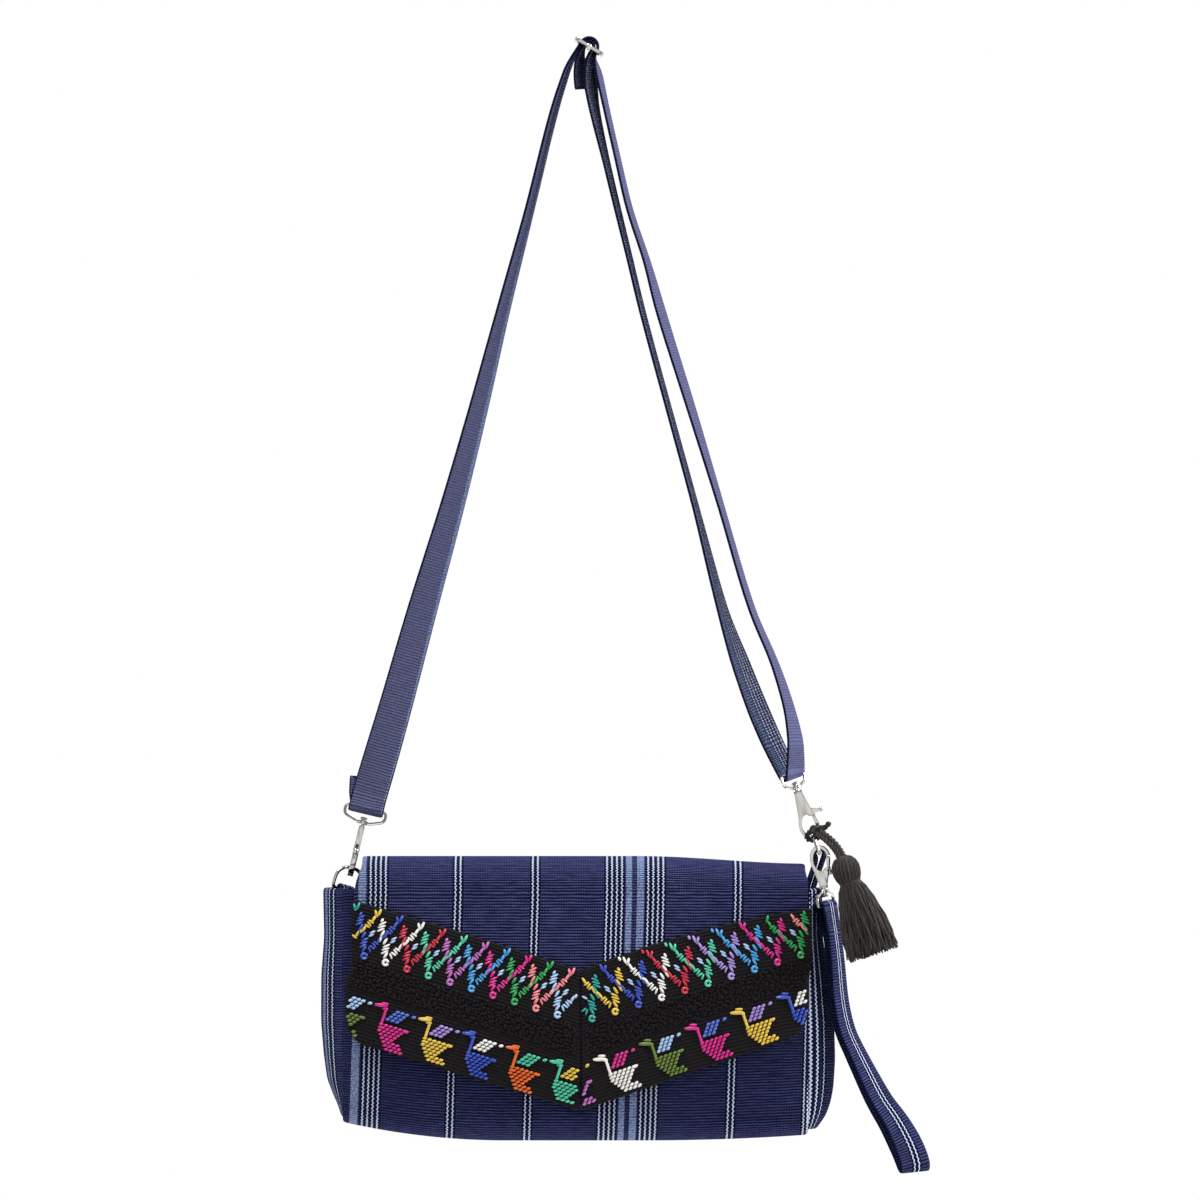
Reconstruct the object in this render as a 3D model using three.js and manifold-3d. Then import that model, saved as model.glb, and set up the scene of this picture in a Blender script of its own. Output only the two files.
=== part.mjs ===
// Woven baguette bag with an embroidered flap, hanging by its shoulder strap.
// Millimetres, +Z up, the front faces -Y. The origin is where a peg carries the strap.
import * as THREE from 'three';
import { mergeVertices } from 'three/addons/utils/BufferGeometryUtils.js';
import Module from 'manifold-3d';

const wasm = await Module();
wasm.setup();
const { Manifold, Mesh: SolidMesh } = wasm;

// Cloth body
const GAP = 0.3;
const CLOTH = 2;
const PANEL_WIDTH = 243;
const PANEL_X = -3;
const BASE_Z = -565;
const FRONT_HEIGHT = 131;
const BACK_HEIGHT = 129;
const BASE_DEPTH = 50;
const MOUTH_DEPTH = 40;
const BASE_CORNER = 14;
const WALL_FOOT = 26;
const FRONT_SWELL = 5;

// Flap and its black bands
const FLAP_CLOTH = 1.8;
const FLAP_CLEAR = 0.8;
const FLAP_TOP = 147.5;
const FLAP_FOOT = 127;
const FLAP_LAP = 14;
const ARCH_SQUARENESS = 0.75;
const TRIM_CLOTH = 1.6;
const TRIM_GAP = 0.4;
const SEAM_X = 0;
const V_TOP = 88.7;
const V_TIP = 15.4;
const BAND_CORNER = 10.5;

// Straps and tabs
const STRAP_WIDTH = 19;
const STRAP_CLOTH = 1.7;
const LAYER_PITCH = 2.1;
const TAB_WIDTH = 9.5;
const TAB_CLOTH = { left: 1.5, right: 2.8 };

// Hardware
const WIRE = 1.1;
const RING_HALF = 8.1;
const RING_HEIGHT = 12;
const HOOK_THICK = 3;
const HOOK_TIP = 22.8;
const HOOK_SEAT = 18.6;
const STRAP_SHANK = 4.4;
const EYE_BAR = 9;
const EYE_HALF = 10.9;
const LEVER_PIVOT = { x: 2.2, z: -8.6 };
const CORD_RADIUS = 1.6;

// Finishes of the meshes
const FINISHES = {
  indigo: { color: '#2b3350', roughness: 0.92, metalness: 0 },
  black: { color: '#1b191d', roughness: 0.95, metalness: 0 },
  nickel: { color: '#c8c8c6', roughness: 0.25, metalness: 1 },
  charcoal: { color: '#3b3c42', roughness: 0.95, metalness: 0 },
};

const rad = THREE.MathUtils.degToRad;
const lerp = THREE.MathUtils.lerp;
const smoothstep = THREE.MathUtils.smoothstep;
const vec = (x, y, z) => new THREE.Vector3(x, y, z);

// Linear look-up in a table of rows, by the column named in `key`.
function lookUp(rows, key, value, column) {
  let i = 0;
  while (i < rows.length - 2 && value > rows[i + 1][key]) i += 1;
  const a = rows[i];
  const b = rows[i + 1];
  const t = THREE.MathUtils.clamp((value - a[key]) / (b[key] - a[key]), 0, 1);
  return lerp(a[column], b[column], t);
}

// Solids by boolean operations

function toSolid(geometry) {
  const bare = new THREE.BufferGeometry();
  bare.setAttribute('position', geometry.getAttribute('position').clone());
  if (geometry.index) bare.setIndex(geometry.index.clone());
  const welded = mergeVertices(bare, 1e-4);
  const index = welded.index.array;
  const triangles = [];
  for (let i = 0; i < index.length; i += 3) {
    const [a, b, c] = index.slice(i, i + 3);
    if (a !== b && b !== c && c !== a) triangles.push(a, b, c);
  }
  return new Manifold(new SolidMesh({
    numProp: 3,
    vertProperties: new Float32Array(welded.getAttribute('position').array),
    triVerts: new Uint32Array(triangles),
  }));
}

function toGeometry(solid) {
  const mesh = solid.getMesh();
  const geometry = new THREE.BufferGeometry();
  geometry.setAttribute('position', new THREE.BufferAttribute(new Float32Array(mesh.vertProperties), 3));
  geometry.setIndex(new THREE.BufferAttribute(new Uint32Array(mesh.triVerts), 1));
  return geometry;
}

const fuse = (geometries) => toGeometry(Manifold.union(geometries.map(toSolid)));

function cut(geometry, tools) {
  return toGeometry(toSolid(geometry).subtract(Manifold.union(tools.map(toSolid))));
}

// Closed meshes

function indexed(points, triangles) {
  const geometry = new THREE.BufferGeometry().setFromPoints(points);
  geometry.setIndex(triangles);
  return geometry;
}

// A cloth wall: a grid of middle points, thickened to both sides and closed round its rim.
function sheet(grid, thickness) {
  const rows = grid.length;
  const columns = grid[0].length;
  const points = [];
  for (const side of [1, -1]) {
    for (let i = 0; i < rows; i += 1) {
      for (let j = 0; j < columns; j += 1) {
        const down = grid[Math.min(i + 1, rows - 1)][j].clone().sub(grid[Math.max(i - 1, 0)][j]);
        const across = grid[i][Math.min(j + 1, columns - 1)].clone().sub(grid[i][Math.max(j - 1, 0)]);
        const normal = down.cross(across).normalize();
        points.push(grid[i][j].clone().addScaledVector(normal, side * thickness / 2));
      }
    }
  }
  const at = (side, i, j) => side * rows * columns + i * columns + j;
  const triangles = [];
  const quad = (a, b, c, d) => triangles.push(a, b, c, a, c, d);
  for (let i = 0; i < rows - 1; i += 1) {
    for (let j = 0; j < columns - 1; j += 1) {
      quad(at(0, i, j), at(0, i + 1, j), at(0, i + 1, j + 1), at(0, i, j + 1));
      quad(at(1, i, j), at(1, i, j + 1), at(1, i + 1, j + 1), at(1, i + 1, j));
    }
  }
  for (let i = 0; i < rows - 1; i += 1) {
    quad(at(0, i, 0), at(1, i, 0), at(1, i + 1, 0), at(0, i + 1, 0));
    quad(at(0, i + 1, columns - 1), at(1, i + 1, columns - 1), at(1, i, columns - 1), at(0, i, columns - 1));
  }
  for (let j = 0; j < columns - 1; j += 1) {
    quad(at(0, 0, j + 1), at(1, 0, j + 1), at(1, 0, j), at(0, 0, j));
    quad(at(0, rows - 1, j), at(1, rows - 1, j), at(1, rows - 1, j + 1), at(0, rows - 1, j + 1));
  }
  return indexed(points, triangles);
}

// A section swept through frames {p, a, b}: section x runs along a and section y along b.
function sweep(frames, section, closed = false) {
  const n = section.length;
  const points = [];
  for (const { p, a, b } of frames) {
    for (const s of section) points.push(p.clone().addScaledVector(a, s.x).addScaledVector(b, s.y));
  }
  const triangles = [];
  const spans = closed ? frames.length : frames.length - 1;
  for (let i = 0; i < spans; i += 1) {
    const here = i * n;
    const next = ((i + 1) % frames.length) * n;
    for (let j = 0; j < n; j += 1) {
      const k = (j + 1) % n;
      triangles.push(here + j, here + k, next + k, here + j, next + k, next + j);
    }
  }
  if (!closed) {
    const last = (frames.length - 1) * n;
    for (let j = 1; j < n - 1; j += 1) {
      triangles.push(0, j + 1, j, last, last + j, last + j + 1);
    }
  }
  return indexed(points, triangles);
}

// Webbing: stations {p, w} with w along the width; the edges are slightly rounded.
function webbing(stations, width, thickness, closed = false) {
  const n = stations.length;
  const frames = stations.map(({ p, w }, i) => {
    const before = closed ? stations[(i + n - 1) % n] : stations[Math.max(i - 1, 0)];
    const after = closed ? stations[(i + 1) % n] : stations[Math.min(i + 1, n - 1)];
    const along = after.p.clone().sub(before.p).normalize();
    const b = along.clone().cross(w).normalize();
    return { p, a: b.clone().cross(along), b };
  });
  const flat = width / 2 - thickness * 0.4;
  const section = [[width / 2, 0], [flat, thickness / 2], [-flat, thickness / 2],
    [-width / 2, 0], [-flat, -thickness / 2], [flat, -thickness / 2]]
    .map(([x, y]) => new THREE.Vector2(x, y));
  return sweep(frames, section, closed);
}

const circle = (radius, sides) => Array.from({ length: sides }, (_, i) => {
  const angle = 2 * Math.PI * i / sides;
  return new THREE.Vector2(radius * Math.cos(angle), radius * Math.sin(angle));
});

// Round cord or wire along free points, its section carried along without twist.
function cord(points, radius, sides) {
  let side = vec(0, 1, 0);
  const frames = points.map((p, i) => {
    const along = points[Math.min(i + 1, points.length - 1)].clone()
      .sub(points[Math.max(i - 1, 0)]).normalize();
    side = side.clone().addScaledVector(along, -side.dot(along)).normalize();
    return { p, a: side, b: along.clone().cross(side) };
  });
  return sweep(frames, circle(radius, sides));
}

// Outline through corners [x, z, radius], each rounded by an arc.
function rounded(corners, steps) {
  const outline = [];
  corners.forEach(([x, z, radius], i) => {
    const [px, pz] = corners[(i + corners.length - 1) % corners.length];
    const [nx, nz] = corners[(i + 1) % corners.length];
    const corner = new THREE.Vector2(x, z);
    const back = new THREE.Vector2(px - x, pz - z).normalize();
    const ahead = new THREE.Vector2(nx - x, nz - z).normalize();
    const half = Math.acos(back.dot(ahead)) / 2;
    const from = corner.clone().addScaledVector(back, radius / Math.tan(half));
    const to = corner.clone().addScaledVector(ahead, radius / Math.tan(half));
    const middle = back.clone().add(ahead).normalize();
    const centre = corner.clone().addScaledVector(middle, radius / Math.sin(half));
    const start = from.sub(centre).angle();
    let turn = to.sub(centre).angle() - start;
    if (turn > Math.PI) turn -= 2 * Math.PI;
    if (turn < -Math.PI) turn += 2 * Math.PI;
    for (let k = 0; k <= steps; k += 1) {
      const angle = start + turn * k / steps;
      const spoke = new THREE.Vector2(Math.cos(angle), Math.sin(angle));
      outline.push(centre.clone().addScaledVector(spoke, radius));
    }
  });
  return outline;
}

// A wire bent to a closed outline in the local XZ plane.
function bentWire(outline, radius, sides) {
  const n = outline.length;
  const frames = outline.map((point, i) => {
    const along = outline[(i + 1) % n].clone().sub(outline[(i + n - 1) % n]).normalize();
    return { p: vec(point.x, 0, point.y), a: vec(along.y, 0, -along.x), b: vec(0, 1, 0) };
  });
  return sweep(frames, circle(radius, sides), true);
}

// A flat plate from a shape drawn in XZ, centred on y = 0.
function plate(shape, thickness) {
  const geometry = new THREE.ExtrudeGeometry(shape, { depth: thickness, bevelEnabled: false });
  return geometry.translate(0, 0, -thickness / 2).rotateX(Math.PI / 2);
}

const shapeOf = (points) => new THREE.Shape(points.map(([x, z]) => new THREE.Vector2(x, z)));

function block(minimum, maximum) {
  const size = maximum.map((value, i) => value - minimum[i]);
  return new THREE.BoxGeometry(...size).translate(...minimum.map((value, i) => value + size[i] / 2));
}

// A turned piece on the local Z axis from points [radius, z].
function turned(points, sides) {
  const profile = points.map(([r, z]) => new THREE.Vector2(r, z));
  return new THREE.LatheGeometry(profile, sides).rotateX(Math.PI / 2);
}

const bag = new THREE.Group();

function add(name, geometry, finish, parent = bag) {
  const mesh = new THREE.Mesh(geometry, new THREE.MeshStandardMaterial(FINISHES[finish]));
  mesh.name = name;
  parent.add(mesh);
  return mesh;
}

// Body: panel, gussets. Heights z are above the base; x is the world X.

const halfDepth = (z) => lerp(BASE_DEPTH, MOUTH_DEPTH, Math.max(0, z / FRONT_HEIGHT) ** 1.6) / 2;
const acrossPanel = (x) => THREE.MathUtils.clamp((x - PANEL_X) / (PANEL_WIDTH / 2), -1, 1);

function swell(x, z) {
  const height = THREE.MathUtils.clamp(z / FRONT_HEIGHT, 0, 1);
  return FRONT_SWELL * (1 - acrossPanel(x) ** 2) * Math.sin(Math.PI * height) ** 0.8;
}

// The ends of the base curl up, more on the left than on the right.
const BASE_RISE = { left: 9.7, right: 3, starts: 0.3, fades: 70 };

function drape(x, y, z) {
  const s = acrossPanel(x);
  const end = Math.max(0, (Math.abs(s) - BASE_RISE.starts) / (1 - BASE_RISE.starts)) ** 2;
  const rise = (s < 0 ? BASE_RISE.left : BASE_RISE.right) * end;
  return vec(x, y, BASE_Z + z + rise * Math.max(0, 1 - z / BASE_RISE.fades));
}

function panelProfile() {
  const rows = [];
  for (let i = 0; i <= 7; i += 1) rows.push({ side: -1, y: 0, z: lerp(FRONT_HEIGHT, WALL_FOOT, i / 7) });
  const foot = BASE_DEPTH / 2 - BASE_CORNER;
  const corner = (side, angle) => rows.push({
    side,
    y: foot + BASE_CORNER * Math.cos(rad(angle)),
    z: BASE_CORNER * (1 - Math.sin(rad(angle))),
    arc: true,
  });
  for (let angle = 0; angle <= 90; angle += 22.5) corner(-1, angle);
  for (const y of [-7, 0, 7]) rows.push({ side: 1, y, z: 0, arc: true });
  for (let angle = 90; angle >= 0; angle -= 22.5) corner(1, angle);
  for (let i = 0; i <= 6; i += 1) rows.push({ side: 1, y: 0, z: lerp(WALL_FOOT, BACK_HEIGHT, i / 6) });
  return rows;
}

function bodyPanel() {
  const columns = 16;
  const grid = panelProfile().map(({ side, y, z, arc }) => Array.from({ length: columns + 1 }, (_, j) => {
    const x = PANEL_X + PANEL_WIDTH * (j / columns - 0.5);
    const depth = arc ? y + swell(x, z) * Math.sign(y) * (z > 0 ? 1 : 0) : halfDepth(z) + swell(x, z);
    return drape(x, side * depth, z);
  }));
  return sheet(grid, CLOTH);
}

const GUSSET_BULGE = [
  { z: 3, left: 0, right: 3.5 },
  { z: 8, left: 1.4, right: 8 },
  { z: 16, left: 4.4, right: 11 },
  { z: 25, left: 7.4, right: 12.6 },
  { z: 40, left: 9.2, right: 13.5 },
  { z: 60, left: 10.6, right: 13 },
  { z: 85, left: 10.5, right: 10 },
  { z: 105, left: 9, right: 7 },
  { z: 131, left: 9.5, right: 6.6 },
];

function gusset(name, sign) {
  const inset = CLOTH / 2 + GAP + 1.1;
  const rows = 11;
  const columns = 8;
  const grid = Array.from({ length: rows + 1 }, (_, i) => {
    const z = lerp(inset + 0.8, FRONT_HEIGHT, i / rows);
    const corner = BASE_CORNER - inset;
    const room = z < BASE_CORNER
      ? BASE_DEPTH / 2 - BASE_CORNER + Math.sqrt(corner ** 2 - (BASE_CORNER - z) ** 2)
      : halfDepth(z) - inset;
    return Array.from({ length: columns + 1 }, (_, j) => {
      const t = j / columns;
      const bulge = lookUp(GUSSET_BULGE, 'z', z, name);
      const reach = PANEL_WIDTH / 2 - 2.5 + (bulge + 2.5) * Math.sin(Math.PI * t ** 0.9) ** 0.75;
      return drape(PANEL_X + sign * reach, room * (2 * t - 1), z);
    });
  });
  return sheet(sign > 0 ? grid : grid.map((row) => row.slice().reverse()), CLOTH);
}

add('body_panel', bodyPanel(), 'indigo');
add('gusset_left', gusset('left', -1), 'indigo');
add('gusset_right', gusset('right', 1), 'indigo');

// Flap: a back lap, an arch over the mouth and a front that ends in a V.

const panelFront = (x, z) => -(halfDepth(z) + swell(x, z)) - CLOTH / 2;
const flapFront = (x, z) => panelFront(x, z) - FLAP_CLEAR - FLAP_CLOTH / 2;
const trimFront = (x, z) => flapFront(x, z) - FLAP_CLOTH / 2 - TRIM_GAP - TRIM_CLOTH / 2;

const BAND = {
  left: { edge: -119.8, lowerEdge: -123, upperSlope: 0.33, upperBend: 0.0002, lowerSlope: 0.3 },
  right: { edge: 120.4, lowerEdge: 119, upperSlope: 0.4, upperBend: 0.0011, lowerSlope: 0.344 },
};

const bandOf = (x) => (x < SEAM_X ? BAND.left : BAND.right);

function bandUpper(x) {
  const d = Math.abs(x - SEAM_X);
  return V_TOP + bandOf(x).upperSlope * d - bandOf(x).upperBend * d * d;
}

function bandLower(x) {
  const { lowerEdge, lowerSlope } = bandOf(x);
  const toEdge = Math.max(0, Math.abs(lowerEdge - SEAM_X) - Math.abs(x - SEAM_X));
  const round = toEdge < BAND_CORNER
    ? BAND_CORNER - Math.sqrt(BAND_CORNER ** 2 - (BAND_CORNER - toEdge) ** 2)
    : 0;
  return V_TIP + lowerSlope * Math.abs(x - SEAM_X) + round;
}

// The flap narrows over the arch, where the strap clasps stand beside it.
const FLAP_EDGES = [
  { along: 0, left: -116, right: 117 },
  { along: 0.35, left: -114.4, right: 117.2 },
  { along: 0.45, left: -118.4, right: 119.6 },
  { along: 0.6, left: -119.4, right: 120 },
  { along: 0.8, left: -119.4, right: 119.6 },
  { along: 1, left: -121, right: 117.6 },
];

const flapTop = (x) => FLAP_TOP - 4 * smoothstep(x, 30, 118);

function flapPoint(row, x) {
  if (row.lap !== undefined) {
    const z = FLAP_FOOT - row.lap;
    return vec(x, -flapFront(x, z), BASE_Z + z);
  }
  if (row.arch !== undefined) {
    const front = -flapFront(x, FLAP_FOOT);
    const c = Math.cos(rad(row.arch));
    const reach = Math.sign(c) * Math.abs(c) ** ARCH_SQUARENESS;
    const lift = Math.sin(rad(row.arch)) ** ARCH_SQUARENESS;
    return vec(x, front * reach, BASE_Z + lerp(FLAP_FOOT, flapTop(x) - FLAP_CLOTH / 2, lift));
  }
  const z = lerp(FLAP_FOOT, bandLower(x) + 1.2, row.front);
  return vec(x, flapFront(x, z), BASE_Z + z);
}

function flap() {
  const rows = [{ lap: FLAP_LAP, along: 0 }, { lap: FLAP_LAP / 2, along: 0 }];
  for (const arch of [0, 14, 30, 50, 70, 90, 110, 130, 150, 166]) {
    rows.push({ arch, along: lerp(0.35, 0.43, smoothstep(arch, 130, 166)) });
  }
  for (const front of [0, 0.08, 0.18, 0.3, 0.42, 0.54, 0.66, 0.78, 0.9, 1]) {
    rows.push({ front, along: 0.45 + front * 0.55 });
  }
  const columns = 16;
  const grid = rows.map((row) => Array.from({ length: columns + 1 }, (_, j) => {
    const edge = lookUp(FLAP_EDGES, 'along', row.along, j < columns / 2 ? 'left' : 'right');
    return flapPoint(row, lerp(SEAM_X, edge, Math.abs(2 * j / columns - 1)));
  }));
  return sheet(grid.map((row) => row.slice().reverse()), FLAP_CLOTH);
}

function trim(side) {
  const sign = side === 'left' ? -1 : 1;
  const inner = SEAM_X + sign * GAP / 2;
  const columns = 14;
  const rows = 6;
  const grid = Array.from({ length: rows + 1 }, (_, i) => Array.from({ length: columns + 1 }, (_, j) => {
    const t = j / columns;
    const edge = lerp(BAND[side].edge, BAND[side].lowerEdge, smoothstep(i / rows, 0.45, 0.7));
    const x = lerp(inner, edge, t + 0.12 * Math.sin(Math.PI * t) * t);
    const z = lerp(bandUpper(x), bandLower(x), i / rows);
    return vec(x, trimFront(x, z), BASE_Z + z);
  }));
  return sheet(sign < 0 ? grid : grid.map((row) => row.slice().reverse()), TRIM_CLOTH);
}

add('flap', flap(), 'indigo');
add('trim_left', trim('left'), 'black');
add('trim_right', trim('right'), 'black');

// Hardware

// A group whose local X, Y and Z are the given directions.
function framed(position, xAxis, yAxis, zAxis) {
  const group = new THREE.Group();
  group.applyMatrix4(new THREE.Matrix4().makeBasis(xAxis, yAxis, zAxis).setPosition(position));
  bag.add(group);
  group.updateMatrixWorld(true);
  return group;
}

// D-ring: the straight bar lies on local X through the origin, the bow rises to RING_HEIGHT.
function dRing(name, bar, up, across) {
  const x = across.clone().addScaledVector(up, -across.dot(up)).normalize();
  const group = framed(bar, x, up.clone().cross(x), up);
  const outline = rounded([[-RING_HALF, 0, 1.9], [RING_HALF, 0, 1.9],
    [RING_HALF, RING_HEIGHT, 6.6], [-RING_HALF, RING_HEIGHT, 6.6]], 4);
  add(name, bentWire(outline, WIRE, 6), 'nickel', group);
  return group;
}

// Swivel clasp: local -Z runs to the tip of the hook, the gate is at local +X, and the shank lengthens
// the neck between the hook and the eye.
function clasp(name, swivel, tipwards, face, eyeTurn, shank = 0) {
  const z = tipwards.clone().negate();
  const y = face.clone().addScaledVector(z, -face.dot(z)).normalize();
  const group = framed(swivel, y.clone().cross(z), y, z);

  const half = [[2.3, shank - 0.4], [2.3, shank - 2.4], [4.4, -9.5], [5.5, -12.8], [6, -15.6], [5.8, -18], [4.8, -20.3],
    [3, -22], [1, -HOOK_TIP]];
  const outline = shapeOf([...half, ...half.map(([px, pz]) => [-px, pz]).reverse()]);
  const opening = circle(1, 16).map((c) => new THREE.Vector2(3.7 * c.x, 4.6 * c.y - 16));
  outline.holes.push(new THREE.Path(opening));
  const body = cut(plate(outline, HOOK_THICK), [
    block([0.9, -5, -17.3], [9, 5, -10.6]),
    block([-0.4, -0.75, -10.7], [9, 0.75, -5.4]),
  ]);
  const post = turned([[0, -1.4], [1.25, -1.4], [1.25, 3], [2.1, 3.3], [1.6, 4.4], [0, 4.4]], 10)
    .translate(0, 0, shank);
  const onPivot = (radius, length) => new THREE.CylinderGeometry(radius, radius, length, 8)
    .translate(LEVER_PIVOT.x, 0, LEVER_PIVOT.z);
  const pin = onPivot(0.6, HOOK_THICK + 0.6);
  add(`${name}_hook`, fuse([body, post, pin]), 'nickel', group);

  const gate = plate(shapeOf([[3.1, -11], [4.8, -11], [5.3, -13], [5.6, -15], [5.4, -16.4],
    [4.3, -16.8], [3.2, -17], [3.2, -15], [3, -13]]), 2.4);
  const tongue = plate(shapeOf([[0.9, -6.7], [3.6, -6.7], [7.9, -8.3], [7.9, -9.7], [4.9, -9.7],
    [4.8, -11.3], [3.1, -11.3], [0.9, -10]]), 0.9);
  const knob = new THREE.SphereGeometry(1.4, 7, 5).translate(8.6, 0, -9);
  add(`${name}_lever`, cut(fuse([gate, tongue, knob]), [onPivot(0.9, HOOK_THICK + 1)]), 'nickel', group);

  const eye = new THREE.Group();
  eye.rotation.z = eyeTurn;
  eye.position.z = shank;
  group.add(eye);
  const loop = rounded([[-EYE_HALF, EYE_BAR, 1.6], [EYE_HALF, EYE_BAR, 1.6], [EYE_HALF, 4, 3.4],
    [3.6, 1.5, 3], [-3.6, 1.5, 3], [-EYE_HALF, 4, 3.4]], 2);
  const collar = turned([[0, 0.4], [2.7, 0.4], [2.7, 2.6], [0, 2.6]], 10);
  const bore = turned([[0, -2], [1.6, -2], [1.6, 5], [0, 5]], 10);
  add(`${name}_eye`, cut(fuse([bentWire(loop, WIRE, 6), collar]), [bore]), 'nickel', eye);
  group.updateMatrixWorld(true);
  return { group, eye };
}

// Unit direction in the XZ plane, leaning `degrees` from +Z towards +X.
const lean = (degrees) => vec(Math.sin(rad(degrees)), 0, Math.cos(rad(degrees)));
const heading = (degrees) => vec(Math.cos(rad(degrees)), Math.sin(rad(degrees)), 0);

const RING_LEFT_BAR = vec(-123.4, 0, -435.4);
const RING_RIGHT_BAR = vec(124.6, -6, -416);
const ringLeft = dRing('ring_left', RING_LEFT_BAR, lean(17), heading(30));
const ringRight = dRing('ring_right', RING_RIGHT_BAR, lean(-20), heading(90));

// Each hook's opening holds its ring at HOOK_SEAT from the swivel.
function hung(ring, across, height, tipwards) {
  return ring.localToWorld(vec(across, 0, height)).addScaledVector(tipwards, -HOOK_SEAT);
}

const LEFT_TIP = lean(13.5).negate();
const RIGHT_TIP = lean(-19).negate();
const WRIST_TIP = lean(-7);
const leftSwivel = hung(ringLeft, 0, RING_HEIGHT, LEFT_TIP);
const rightSwivel = hung(ringRight, 1.5, RING_HEIGHT, RIGHT_TIP);
const wristSwivel = hung(ringRight, -5.2, 0, WRIST_TIP);
const claspLeft = clasp('clasp_left', leftSwivel, LEFT_TIP, heading(0), rad(90), STRAP_SHANK);
const claspRight = clasp('clasp_right', rightSwivel, RIGHT_TIP, heading(90), rad(56), STRAP_SHANK);
const wristClasp = clasp('wrist_clasp', wristSwivel, WRIST_TIP, heading(-90), rad(-66));

// Tabs: from the gusset up, over the ring's bar and down again.
function tab(name, ring, across, thickness, sewn) {
  const reach = WIRE + GAP + thickness / 2;
  const half = (thickness + GAP) / 2 + 0.05;
  const w = ring.localToWorld(vec(1, 0, 0)).sub(ring.localToWorld(vec(0, 0, 0)));
  const at = (y, z) => ring.localToWorld(vec(across, y, z));
  const foot = (side) => sewn.map(({ x, y, z, turn }) => ({
    p: vec(x, y, z).addScaledVector(heading(turn + 90), side * half),
    w: heading(turn),
  }));
  const bend = [];
  for (let angle = -30; angle <= 210; angle += 30) {
    bend.push({ p: at(reach * Math.cos(rad(angle)), reach * Math.sin(rad(angle))), w });
  }
  add(name, webbing([...foot(1), ...bend, ...foot(-1).reverse()], TAB_WIDTH, thickness), 'indigo');
}

tab('tab_left', ringLeft, 0, TAB_CLOTH.left, [
  { x: -129, y: 1, z: -460, turn: 78 },
  { x: -128.2, y: 1, z: -452, turn: 66 },
  { x: -125.8, y: 0, z: -443, turn: 46 },
]);
tab('tab_right', ringRight, 2, TAB_CLOTH.right, [
  { x: 117.9, y: -4, z: -456, turn: 90 },
  { x: 118.1, y: -4, z: -444, turn: 90 },
  { x: 119.4, y: -4, z: -434, turn: 90 },
  { x: 124, y: -4, z: -422, turn: 90 },
]);

// Slider: local X runs along its rails, local Y along its bars.
const SLIDER = {
  x: 4.2, z: 5.8, lean: 31, half: 8.5, barHalf: 1.2, slotOuter: 6.6, width: 24, slotWidth: 20, thick: 1.8,
};
const sliderAt = vec(SLIDER.x, 0, SLIDER.z);
const sliderGroup = framed(sliderAt, lean(90 + SLIDER.lean), heading(90), lean(SLIDER.lean));

function slider() {
  const corners = (x0, x1, half, radius) => rounded([[x0, -half, radius], [x1, -half, radius],
    [x1, half, radius], [x0, half, radius]], 2);
  const outline = new THREE.Shape(corners(-SLIDER.half, SLIDER.half, SLIDER.width / 2, 2.4));
  for (const sign of [1, -1]) {
    const ends = [sign * SLIDER.barHalf, sign * SLIDER.slotOuter].sort((a, b) => a - b);
    outline.holes.push(new THREE.Path(corners(ends[0], ends[1], SLIDER.slotWidth / 2, 0.8).reverse()));
  }
  const frame = plate(outline, SLIDER.thick).rotateX(-Math.PI / 2);
  const rivet = new THREE.CylinderGeometry(1.3, 1.3, SLIDER.width + 0.8, 10);
  const clear = new THREE.CylinderGeometry(3, 3, SLIDER.slotWidth, 10);
  return fuse([frame, cut(rivet, [clear])]);
}

add('strap_slider', slider(), 'nickel', sliderGroup);

// Straps

// Stations of a run: rows {x, y, z, turn}, turn being the heading of the width.
function run(rows, steps) {
  const curve = new THREE.CatmullRomCurve3(rows.map(({ x, y, z }) => vec(x, y, z)), false, 'centripetal');
  const spans = rows.length - 1;
  return Array.from({ length: spans * steps + 1 }, (_, i) => {
    const span = Math.min(Math.floor(i / steps), spans - 1);
    const turn = lerp(rows[span].turn, rows[span + 1].turn, i / steps - span);
    return { p: curve.getPoint(i / (spans * steps)), w: heading(turn) };
  });
}

// Stations round the bar of a clasp's eye; angles are in the eye's YZ plane.
function roundEye(eye, from, to, step) {
  const reach = WIRE + GAP + STRAP_CLOTH / 2;
  const stations = [];
  const count = Math.round(Math.abs(to - from) / step);
  for (let i = 0; i <= count; i += 1) {
    const angle = rad(lerp(from, to, i / count));
    stations.push(eyeStation(eye, reach * Math.cos(angle), EYE_BAR + reach * Math.sin(angle)));
  }
  return stations;
}

function eyeStation(eye, y, z, x = 0) {
  const p = eye.localToWorld(vec(x, y, z));
  return { p, w: eye.localToWorld(vec(x + 1, y, z)).sub(p) };
}

// A station beside the slider: along its rails and above its plane.
function sliderStation(along, above) {
  return { p: sliderGroup.localToWorld(vec(along, 0, above)), w: heading(90) };
}

function overSlider(reach, from, to, count) {
  return Array.from({ length: count + 1 }, (_, i) => {
    const angle = rad(lerp(from, to, i / count));
    return sliderStation(reach * Math.cos(angle), reach * Math.sin(angle));
  });
}

const LEFT_RUN = [
  { x: -109, y: -1.1, z: -380, turn: 3 },
  { x: -97.6, y: -0.8, z: -341, turn: 20 },
  { x: -83.2, y: 0, z: -289, turn: 33 },
  { x: -68, y: 0, z: -236.5, turn: 47 },
  { x: -53.9, y: 0, z: -184, turn: 58 },
  { x: -40.8, y: 0, z: -132, turn: 69 },
  { x: -27, y: 0, z: -79.5, turn: 77 },
  { x: -13.9, y: 0, z: -27, turn: 79 },
  { x: -6.6, y: 0, z: -4, turn: 82 },
];

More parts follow.
